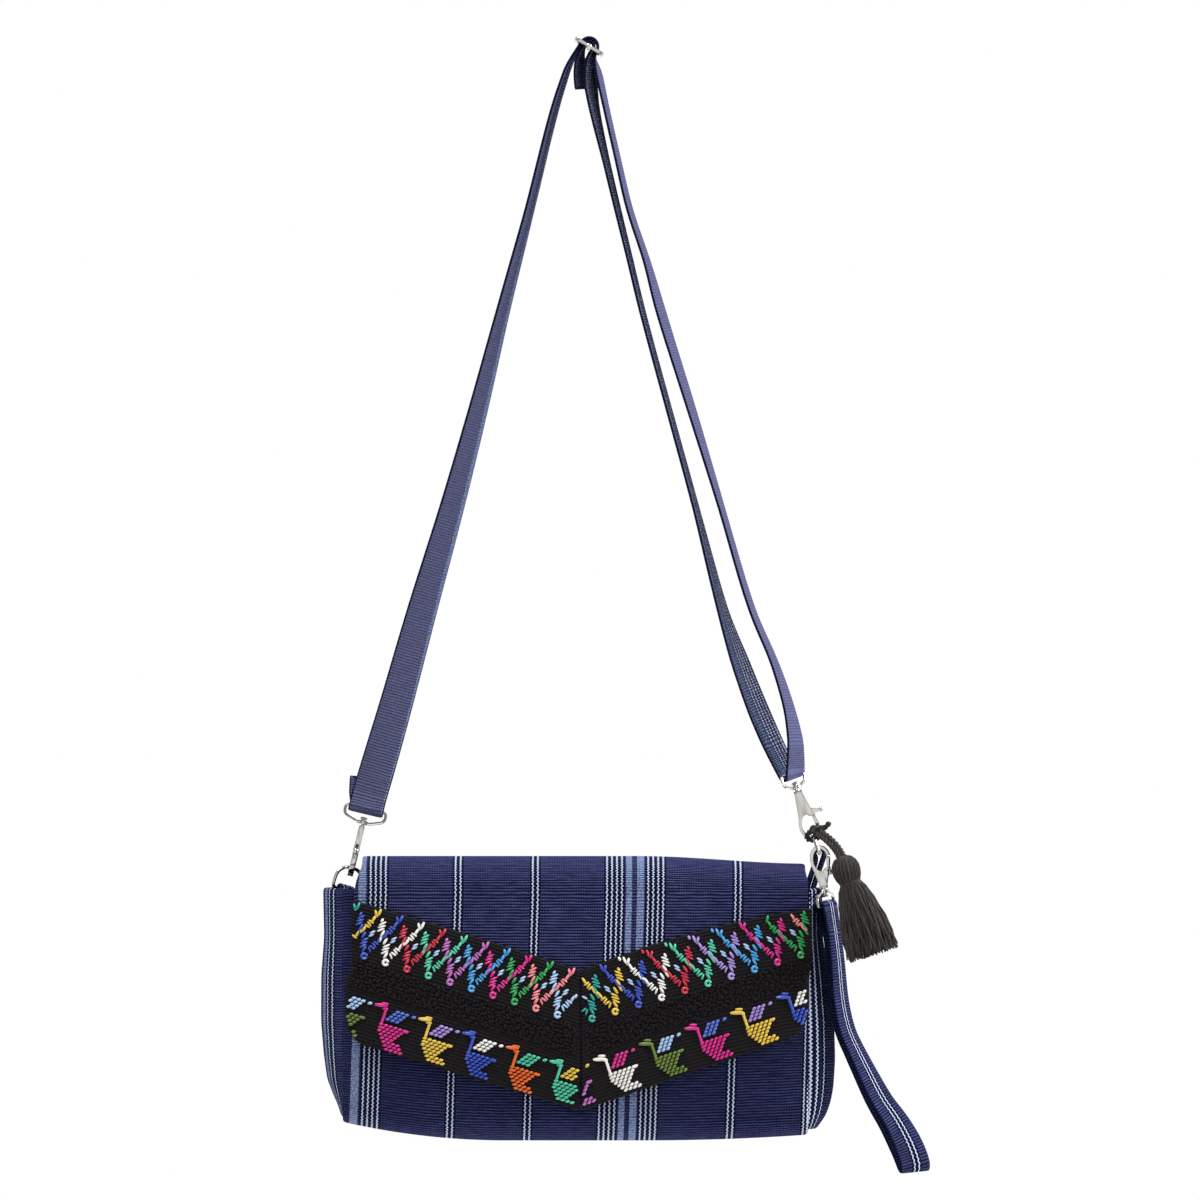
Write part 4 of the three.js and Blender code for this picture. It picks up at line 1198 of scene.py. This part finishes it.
# %% Outlines of a clasp
HOOK_NECK = [(2.2, -0.4), (2.2, -2.4)]
HOOK_BOW = [(4.1, -9.5), (5.1, -12.8), (5.5, -15.6), (5.3, -18), (4.4, -20.3), (2.8, -22), (1, -HOOK_TIP)]
HOOK_HOLE = {"wide": 3.8, "high": 5.9, "at": -15.2, "points": 28}
HOOK_OPENING = []
for a in arc(0, 360, HOOK_HOLE["points"])[:-1]:
    HOOK_OPENING.append((HOOK_HOLE["wide"] * math.cos(a), HOOK_HOLE["high"] * math.sin(a) + HOOK_HOLE["at"]))
# the boxes that open the hook for its ring and make room for the lever
HOOK_MOUTH = ((0.9, -5, -17.3), (9, 5, -10.6))
LEVER_SLOT = ((-0.4, -0.75, -10.7), (9, 0.75, -5.4))
# radius and z of the turned pieces: the post in the hook, the collar of the eye, and the bore through it
SWIVEL_POST = [(0, -1.4), (1.25, -1.4), (1.25, 3), (2.1, 3.3), (2.0, 3.9), (1.5, 4.4), (0, 4.4)]
COLLAR = [(0, 0.4), (2.4, 0.4), (2.7, 0.7), (2.7, 2.3), (2.4, 2.6), (0, 2.6)]
COLLAR_BORE = [(0, -2), (1.6, -2), (1.6, 5), (0, 5)]
PIN = 0.6
PIN_HOLE = 0.9
KNOB = 1.4
KNOB_AT = (8.6, 0, -9)
HOOK_EDGE = 0.45
LEVER_EDGE = 0.2
GATE_THICK = 2.4
TONGUE_THICK = 0.9
GATE = [
    (3.1, -11), (4.5, -11), (4.9, -13), (5.2, -15), (5.1, -16.4), (4.2, -16.8), (3.2, -17), (3.2, -15),
    (3, -13),
]
TONGUE = [
    (0.9, -6.7), (3.6, -6.7), (7.9, -8.3), (7.9, -9.7), (4.9, -9.7), (4.8, -11.3), (3.1, -11.3),
    (0.9, -10),
]
EYE_CORNERS = [
    (-EYE_HALF, EYE_BAR, 1.6), (EYE_HALF, EYE_BAR, 1.6), (EYE_HALF, 4, 3.4), (3.6, 1.5, 3),
    (-3.6, 1.5, 3), (-EYE_HALF, 4, 3.4),
]


# %% Parts of a clasp
def pivot_pin(radius, length):
    bpy.ops.mesh.primitive_cylinder_add(
        vertices=16, radius=radius, depth=length, rotation=(math.pi / 2, 0, 0)
    )
    bpy.ops.object.transform_apply(rotation=True)
    obj = bpy.context.object
    obj.location = (PIVOT_X, 0, PIVOT_Z)
    bpy.ops.object.transform_apply(location=True)
    return obj


def clasp_hook(shank):
    half = [(x, z + shank) for x, z in HOOK_NECK] + HOOK_BOW
    hook = plate(half + [(-x, z) for x, z in reversed(half)], HOOK_THICK, [HOOK_OPENING])
    combine(hook, box(*HOOK_MOUTH), "DIFFERENCE")
    combine(hook, box(*LEVER_SLOT), "DIFFERENCE")
    soften_edges(hook, HOOK_EDGE)
    combine(hook, turned([(radius, z + shank) for radius, z in SWIVEL_POST]), "UNION")
    return combine(hook, pivot_pin(PIN, HOOK_THICK + 0.6), "UNION")


def clasp_lever():
    lever = combine(plate(GATE, GATE_THICK), plate(TONGUE, TONGUE_THICK), "UNION")
    combine(lever, pivot_pin(PIN_HOLE, HOOK_THICK + 1), "DIFFERENCE")
    soften_edges(lever, LEVER_EDGE)
    bpy.ops.mesh.primitive_uv_sphere_add(segments=14, ring_count=9, radius=KNOB, location=KNOB_AT)
    bpy.ops.object.transform_apply(location=True)
    return combine(lever, bpy.context.object, "UNION")


def clasp_eye():
    eye = bent_wire(rounded(EYE_CORNERS, 5), EYE_WIRE)
    combine(eye, turned(COLLAR), "UNION")
    return combine(eye, turned(COLLAR_BORE), "DIFFERENCE")


# %% Clasps
for key, at in CLASPS.items():
    node = "wrist_clasp" if key == "wrist" else f"clasp_{key}"
    hook = to_place(clasp_hook(SHANKS[key]), at)
    settle(hook, f"hook_{key}", nickel, nodes=[f"{node}_hook"], angle=35)
    lever = to_place(clasp_lever(), at)
    settle(lever, f"lever_{key}", nickel, f"{key}_lever", [f"{node}_lever"], angle=35)
    eye = to_place(clasp_eye(), EYES[key])
    settle(eye, f"eye_{key}", nickel, nodes=[f"{node}_eye"], angle=35)

# %% [markdown]
# ## Slider
# The three-bar slider at the top lets the strap be shortened. It is a flat stamped frame with two slots,
# and a riveted middle bar. The strap runs over it, so it is made before the strap.

# %% Strap slider
SLIDER = {"half": 8.5, "bar": 1.2, "slot": 6.6, "width": 24, "slot_width": 20, "thick": 1.8, "lean": 31}
slider_at = framed(Vector((4.2, 0, 5.8)), lean(90 + SLIDER["lean"]), heading(90), lean(SLIDER["lean"]))


def slot_outline(low, high, half, radius, steps):
    corners = ((low, -half), (high, -half), (high, half), (low, half))
    return rounded([(x, z, radius) for x, z in corners], steps)


def slider_frame():
    slots = [
        slot_outline(SLIDER["bar"], SLIDER["slot"], SLIDER["slot_width"] / 2, 0.8, 3),
        slot_outline(-SLIDER["slot"], -SLIDER["bar"], SLIDER["slot_width"] / 2, 0.8, 3),
    ]
    outer = slot_outline(-SLIDER["half"], SLIDER["half"], SLIDER["width"] / 2, 2.4, 5)
    frame_plate = plate(outer, SLIDER["thick"], slots)
    head = [(0, 12.4), (0.9, 12.4), (1.3, 12), (1.3, 10), (0.8, 10)]
    rivet = turned([*head, *((radius, -z) for radius, z in reversed(head))], 16)
    return soften_edges(combine(frame_plate, rivet, "UNION"), 0.4)


lying = framed(Vector((0, 0, 0)), Vector((1, 0, 0)), Vector((0, 0, -1)), Vector((0, 1, 0)))
slider = to_place(slider_frame(), slider_at @ lying)
settle(slider, "slider", nickel, nodes=["strap_slider"], angle=35)

# %% [markdown]
# ## Straps and tabs
# The straps and tabs are strips of the same cloth, folded and sewn flat. A strip is swept along stations: a
# point and the direction of its width there. The strip could be a curve with a flat profile, but a curve
# twists where it turns steeply, and here the twist is known. The shoulder strap was cut a little askew, so
# its stripes drift from one edge to the other along the way, and they only show on its inner face.

# %% Sweeping a strip
STRAP_WIDTH = 19
STRAP_CLOTH = 1.7
LAYER_PITCH = 2.1
TAB_WIDTH = 9.5
TAB_SPARE = 0.05
TAB_STEPS = 12
TAB_CLOTH = {"left": 1.5, "right": 2.8}
CLEARANCE = 0.3
STRIP_COLUMNS = 6
STRIP_WELD = 0.005


def strip(stations, width, thickness, closed=False, drift=0.0, centred=0.0):
    """A flat strip through stations (point, width direction), closed round its edges and at its ends."""
    if not closed:
        for end, inner in ((0, 1), (-1, -2)):
            point, way = stations[end]
            share = 0.4 * thickness / (stations[inner][0] - point).length
            place = 1 if end == 0 else len(stations) - 1
            stations = stations[:place] + [(point.lerp(stations[inner][0], share), way)] + stations[place:]
    rows = stations + stations[:1] if closed else stations
    lengths = [0]
    for (here, _), (there, _) in zip(rows, rows[1:]):
        lengths.append(lengths[-1] + (there - here).length)
    flat = width / 2 - 0.4 * thickness
    steps = [flat * (2 * k / STRIP_COLUMNS - 1) for k in range(STRIP_COLUMNS + 1)]
    edge = (-width / 2, 0, 0)
    section = [edge, *((a, 0.5, 1) for a in steps), (width / 2, 0, 0)]
    section += [*((a, -0.5, -1) for a in reversed(steps)), edge]

    frames = []
    for i, (point, way) in enumerate(rows):
        before = i - 1 if i > 0 else (len(rows) - 2 if closed else 0)
        after = i + 1 if i < len(rows) - 1 else (1 if closed else i)
        along = (rows[after][0] - rows[before][0]).normalized()
        out = along.cross(way).normalized()
        frames.append((point, out.cross(along), out))

    def place(u, v):
        i = round(v * (len(rows) - 1))
        across, rise, face = section[round(u * (len(section) - 1))]
        point, wide, out = frames[i]
        if not closed and i in (0, len(rows) - 1):
            rise = 0
        thread = (across + drift * (lengths[i] - centred), lengths[i], face)
        return point + wide * across + out * rise * thickness, thread

    obj = shaped_grid(len(section) - 1, len(rows) - 1, place)
    mend(obj, bpy.ops.mesh.remove_doubles, threshold=STRIP_WELD * MM)
    modify(obj, "SUBSURF", levels=1, render_levels=1)
    return obj, lengths[-1]


# %% Stations along a curve
def curve_at(points, t):
    """Point at t, 0 to 1, of a smooth curve through the points."""
    spans = len(points) - 1
    i = min(int(t * spans), spans - 1)
    f = t * spans - i
    p1 = points[i]
    p2 = points[i + 1]
    p0 = points[i - 1] if i > 0 else 2 * p1 - p2
    p3 = points[i + 2] if i + 2 <= spans else 2 * p2 - p1
    d0, d1, d2 = ((b - a).length ** 0.5 for a, b in ((p0, p1), (p1, p2), (p2, p3)))
    m1 = ((p1 - p0) / d0 - (p2 - p0) / (d0 + d1) + (p2 - p1) / d1) * d1
    m2 = ((p2 - p1) / d1 - (p3 - p1) / (d1 + d2) + (p3 - p2) / d2) * d1
    bow = (2 * p1 - 2 * p2 + m1 + m2) * f**3 + (3 * p2 - 3 * p1 - 2 * m1 - m2) * f**2
    return bow + m1 * f + p1


def run(rows, steps):
    """Stations through rows (x, y, z, heading of the width)."""
    points = [Vector(row[:3]) for row in rows]
    spans = len(rows) - 1
    stations = []
    for i in range(spans * steps + 1):
        span = min(i // steps, spans - 1)
        turn = lerp(rows[span][3], rows[span + 1][3], i / steps - span)
        stations.append((curve_at(points, i / (spans * steps)), heading(turn)))
    return stations


def eye_station(key, y, z, x=0):
    return EYES[key] @ Vector((x, y, z)), EYES[key].to_3x3() @ Vector((1, 0, 0))


def round_eye(key, start, stop, count):
    """Stations round the bar of a clasp's eye."""
    reach = WIRE + CLEARANCE + STRAP_CLOTH / 2
    angles = arc(start, stop, count)
    return [eye_station(key, reach * math.cos(a), EYE_BAR + reach * math.sin(a)) for a in angles]


def slider_station(along, above, turn=90):
    return slider_at @ Vector((along, 0, above)), heading(turn)


def over_slider(reach, start, stop, count):
    angles = arc(start, stop, count)
    return [slider_station(reach * math.cos(a), reach * math.sin(a)) for a in angles]


# %% Shoulder strap
# x, y, z of the middle of the strap, and the heading of its width
LEFT_RUN = [
    (-109, -1.1, -380, 3), (-97.6, -0.8, -341, 20), (-83.2, 0, -289, 33), (-68, 0, -236.5, 47),
    (-53.9, 0, -184, 58), (-40.8, 0, -132, 69), (-27, 0, -79.5, 77), (-13.9, 0, -27, 79),
    (-6.6, 0, -4, 82),
]
OUTER_RUN = [
    (8.8, 0, -6, 80), (13.3, 0, -27, 82), (19.3, 0, -53.4, 82), (25.4, 0, -79.5, 81),
    (34.2, 0, -105.7, 80), (41.5, 0, -132, 74), (57.8, -0.5, -184, 76), (73.8, -1, -236.5, 81),
    (89.4, -2, -289, 80), (100.6, -3, -315, 78), (109, -4.5, -341, 72), (112.4, -6, -359, 63),
]
INNER_RUN = [
    (100.4, -2.4, -359, 50), (92.6, -2.2, -341, 51), (82.8, -1.5, -315, 58), (74, -1, -289, 73),
    (60.4, -0.5, -236.5, 81), (46, 0, -184, 82), (31.9, 0, -132, 82), (25.6, 0, -105.7, 82),
    (19.2, 0, -79.5, 81), (13, 0, -53.4, 80), (6.8, 0, -26.2, 74), (4.8, 0, -12, 68),
]
LOOSE_END = [(-0.4, 0, 2, 80), (-0.6, 0, -4, 71), (0.2, 0, -10, 64), (1.2, 0, -16.5, 62)]
LOOP_REACH = 2.65
HUMP_REACH = LOOP_REACH + LAYER_PITCH - 0.1
STRIPE_DRIFT = 0.0176
STRIPE_CENTRED = 850

strap_route = [
    *(eye_station("left", y, z, x) for x, y, z in ((-3.2, 1.15, 25.5), (-2, 1.15, 17), (0, 1.5, 13))),
    *round_eye("left", 20, -200, 9), *(eye_station("left", -y, z) for y, z in ((1.5, 13), (1.1, 16))),
    *run(LEFT_RUN, 4), slider_station(-HUMP_REACH, -3), *over_slider(HUMP_REACH, 180, 0, 10),
    slider_station(HUMP_REACH, -1.8), slider_station(HUMP_REACH + 0.9, -4), *run(OUTER_RUN, 3),
    *round_eye("right", 190, 350, 8), *run(INNER_RUN, 3), slider_station(LOOP_REACH, -4, 76),
    *over_slider(LOOP_REACH, 0, 180, 8), *((Vector(row[:3]), heading(row[3])) for row in LOOSE_END),
]
strap, strap_length = strip(
    strap_route, STRAP_WIDTH, STRAP_CLOTH, drift=STRIPE_DRIFT, centred=STRIPE_CENTRED
)
settle(strap, "strap_cloth", strap_cotton, nodes=["shoulder_strap"])
print("shoulder strap is", round(strap_length), "mm long")

# %% Wrist loop
# x, y, z of the middle of the loop, the heading of its width, and how far each strand lies from the middle
WRIST_RUN = [
    (131, -11.5, -457, 68, 1.1), (132.8, -11.5, -472, 66, 1.1), (134.6, -11.5, -493, 64, 1.2),
    (138, -11.5, -508.6, 62, 1.2), (142.6, -11.5, -519, 60, 1.2), (147.8, -11.5, -529.6, 56, 1.3),
    (155.9, -11.5, -545.3, 49, 1.5), (163, -11.5, -556, 42, 1.9), (168.6, -11.5, -566.2, 36, 2.2),
    (172.2, -11.5, -574.4, 33, 2), (173.8, -11.5, -579.6, 32, 1.5),
]
WRIST_STEPS = 3


def wrist_strand(side):
    middle = run(WRIST_RUN, WRIST_STEPS)
    stations = []
    for i, (point, way) in enumerate(middle):
        before = middle[max(i - 1, 0)][0]
        after = middle[min(i + 1, len(middle) - 1)][0]
        out = way.cross(after - before).normalized()
        spread = np.interp(i / WRIST_STEPS, range(len(WRIST_RUN)), [row[4] for row in WRIST_RUN])
        stations.append((point + out * side * spread, way))
    return stations


wrist_end = Vector(WRIST_RUN[-1][:3]) + Vector((0.7, 0, -3.4))
wrist_route = [
    *round_eye("wrist", 160, 380, 9), *wrist_strand(-1), (wrist_end, heading(WRIST_RUN[-1][3])),
    *reversed(wrist_strand(1)),
]
wrist, wrist_length = strip(wrist_route, STRAP_WIDTH, STRAP_CLOTH, closed=True)
settle(wrist, "wrist_cloth", wrist_cotton, nodes=["wrist_strap"])
print("wrist loop is", round(wrist_length), "mm round")

# %% Tabs
# x, y, z where a tab is sewn on, and the heading of its width
TABS = {
    "left": {"ring": ring_left_at, "across": 0, "sewn": [
        (-129, 1, -460, 78),
        (-128.2, 1, -452, 66),
        (-125.8, 0, -443, 46),
    ]},
    "right": {"ring": ring_right_at, "across": 2, "sewn": [
        (117.9, -4, -456, 90),
        (118.1, -4, -444, 90),
        (119.4, -4, -434, 90),
        (124, -4, -422, 90),
    ]},
}


def tab_route(tab, thickness):
    reach = WIRE + CLEARANCE + thickness / 2
    half = (thickness + CLEARANCE) / 2 + TAB_SPARE
    wide = tab["ring"].to_3x3() @ Vector((1, 0, 0))
    bend = []
    for a in arc(-30, 210, TAB_STEPS):
        around = Vector((tab["across"], reach * math.cos(a), reach * math.sin(a)))
        bend.append((tab["ring"] @ around, wide))
    sewn = [(Vector(row[:3]), heading(row[3]), heading(row[3] + 90) * half) for row in tab["sewn"]]
    front = [(point + aside, way) for point, way, aside in sewn]
    back = [(point - aside, way) for point, way, aside in sewn]
    return [*front, *bend, *reversed(back)]


for side, tab in TABS.items():
    tab_cloth, tab_length = strip(tab_route(tab, TAB_CLOTH[side]), TAB_WIDTH, TAB_CLOTH[side])
    settle(tab_cloth, f"tab_cloth_{side}", tab_cotton, nodes=[f"tab_{side}"])
    print(side, "tab is", round(tab_length), "mm long")

# %% [markdown]
# ## Tassel
# A tassel is a hank of yarn folded over a cord, bound at the neck and cut level below. Hair curves could
# stand for the yarn, but an export loses them, so each strand is a thin tube from the same arrays as the
# stitches. Its flare and its uneven ends come from sine waves of the strand's number, with nothing random.
# The cord is knotted to the ring and runs doubled to the tassel, and each of its strands is two plied yarns.

# %% Size of the tassel
TASSEL_AXIS = lean(162)
tassel_at = framed(
    Vector((138, -31, -424)), Vector((0, 1, 0)).cross(TASSEL_AXIS), Vector((0, 1, 0)), TASSEL_AXIS
)
TASSEL_LENGTH = 45
TASSEL_FLATNESS = 0.75
STRANDS = 420
HEAD_STRANDS = 54
YARN = 0.55
NECK_Z = 7
NECK_RADIUS = 5.3
NECK_TURNS = 4
SKIRT_SHADE = 1.4
HEAD_SHADE = 1.1
STRAND_SHADE = 0.6
HEAD_PROFILE = [(0.3, -7.4), (2.6, -7), (4.6, -6), (6.3, -3.6), (7, -1), (6.9, 1.6), (6.4, 4), (5.4, 6.4)]
SKIRT_PROFILE = [(5.2, 7.5), (7.4, 11), (9.6, 18), (11.8, 28), (13.2, 37), (13.6, TASSEL_LENGTH)]
GOLDEN_TURN = math.pi * (3 - math.sqrt(5))


# %% Strands of the tassel
def placed(part, matrix, shade=1.0):
    """A thread's points moved to a frame, ready to be joined."""
    points, faces = part
    turn = np.array(matrix.to_3x3())
    return points @ turn.T + np.array(matrix.translation), faces, (shade, shade, shade, 1)


def flattened(part):
    """A tassel that hangs against the bag is less deep than wide."""
    points, faces = part
    return points * (1, TASSEL_FLATNESS, 1), faces


def tassel_strand(i):
    turn = i * GOLDEN_TURN
    share = math.sqrt((i + 0.5) / STRANDS)
    long = 1 + 0.035 * math.sin(7.3 * i) + 0.02 * math.sin(2.9 * i + 1)
    points = []
    for k, (radius, z) in enumerate(SKIRT_PROFILE):
        bow = 0.5 * math.sin(1.7 * i + 1.9 * k) * k / 3
        angle = turn + 0.09 * math.sin(3.1 * i + 1.6 * k)
        out = radius * share + bow
        points.append((out * math.cos(angle), out * math.sin(angle), NECK_Z + (z - NECK_Z) * long))
    return tube(points, [YARN * 0.9] * 5 + [YARN * 0.7], 4)


def head_strand(i):
    turn = 2 * math.pi * i / HEAD_STRANDS
    points = [(r * math.cos(turn + 0.02 * z), r * math.sin(turn + 0.02 * z), z) for r, z in HEAD_PROFILE]
    return tube(points, [0.2, 0.25, 0.35, 0.45, 0.5, 0.5, 0.48, 0.4], 4)


def neck_binding():
    points = []
    turns = arc(0, 360 * NECK_TURNS, 64)
    for a in turns:
        rise = 2 * a / turns[-1]
        points.append((NECK_RADIUS * math.cos(a), NECK_RADIUS * math.sin(a), NECK_Z - 1 + rise))
    return tube(points, 0.5, 5)


# %% Tassel
yarns = [tassel_strand(i) for i in range(STRANDS)]
yarns += [head_strand(i) for i in range(HEAD_STRANDS)]
yarns.append(neck_binding())
core_profile = [(0, -7.1), *[(max(r - 0.3, 0.3), z) for r, z in HEAD_PROFILE[1:]], (5, 10), (0, 12)]
core = to_place(turned(core_profile), tassel_at @ Matrix.Diagonal((1, TASSEL_FLATNESS, 1, 1)))
shades = [SKIRT_SHADE if i < STRANDS else HEAD_SHADE for i in range(len(yarns))]
tassel = joined([
    placed(flattened(yarn), tassel_at, shade + STRAND_SHADE * math.sin(2.4 * i))
    for i, (yarn, shade) in enumerate(zip(yarns, shades))
])
pick(tassel)
core.select_set(True)
bpy.ops.object.join()
settle(tassel, "tassel_yarn", charcoal, nodes=["tassel"])

# %% Twisting a cord
CORD_RADIUS = 1.6
PLY = 0.88
PLY_TURN = 5
KNOT_SIZE = 1.25
DOUBLED = Vector((1.0, 0, 0.7))
LOOP_STEPS = 14
KNOT_STEPS = 39


def plied(points):
    """Two yarns twisted round each other along a smooth way through the points."""
    ways = [Vector(point) for point in points]
    length = sum((b - a).length for a, b in zip(ways, ways[1:]))
    count = max(12, int(length / 0.8))
    middle = np.array([curve_at(ways, i / count) for i in range(count + 1)])
    along = unit_rows(np.gradient(middle, axis=0))
    side = unit_rows(np.cross(along, (0.3, 0.2, 1.0)))
    other = np.cross(along, side)
    twist = 2 * np.pi * np.linspace(0, length, count + 1) / PLY_TURN
    parts = []
    for start in (0, np.pi):
        swing = np.cos(twist + start)[:, None] * side + np.sin(twist + start)[:, None] * other
        parts.append(tube(middle + swing * (CORD_RADIUS - PLY), PLY, 6))
    return parts


# %% Knotted cord
shoulder = ring_right_at @ Vector((-6.2, 0, 10.1))
ring_side = ring_right_at.to_3x3() @ Vector((0, 1, 0))
inward = (ring_right_at.to_3x3() @ Vector((0.72, 0, -0.69))).normalized()
loop_radius = WIRE + CLEARANCE + CORD_RADIUS + 0.4
knot_at = shoulder - inward * 4.6 + Vector((3.2, -1.2, -0.9))
tassel_top = tassel_at @ Vector((0, 0, -6.6))

loop = []
for a in arc(-80, 260, LOOP_STEPS):
    loop.append(shoulder + (ring_side * math.cos(a) + inward * math.sin(a)) * loop_radius)
hang = [
    knot_at, knot_at.lerp(tassel_top, 0.35) + Vector((0.6, -0.6, 1.2)),
    knot_at.lerp(tassel_top, 0.7) + Vector((0.8, -0.4, 1)), tassel_top,
]
tail = [knot_at, knot_at + Vector((4, -0.8, 2.2)), knot_at + Vector((6.4, -1.4, 4.6))]
overhand = []
for a in arc(0, 360, KNOT_STEPS):
    x = math.sin(a) + 2 * math.sin(2 * a)
    z = math.cos(a) - 2 * math.cos(2 * a)
    overhand.append(knot_at + Vector((x, 0.7 * math.sin(3 * a), z)) * KNOT_SIZE * 0.8)
doubled = [[point + DOUBLED * side for point in hang] for side in (1, -1)]
cord_parts = [part for way in (loop, *doubled, tail, overhand) for part in plied(way)]
tie = joined([(*part, (1, 1, 1, 1)) for part in cord_parts])
settle(tie, "tassel_tie", charcoal, nodes=["tassel_cord"])
tie_length = sum((b - a).length for a, b in zip(hang, hang[1:]))
print("from knot to tassel:", round(tie_length), "mm")
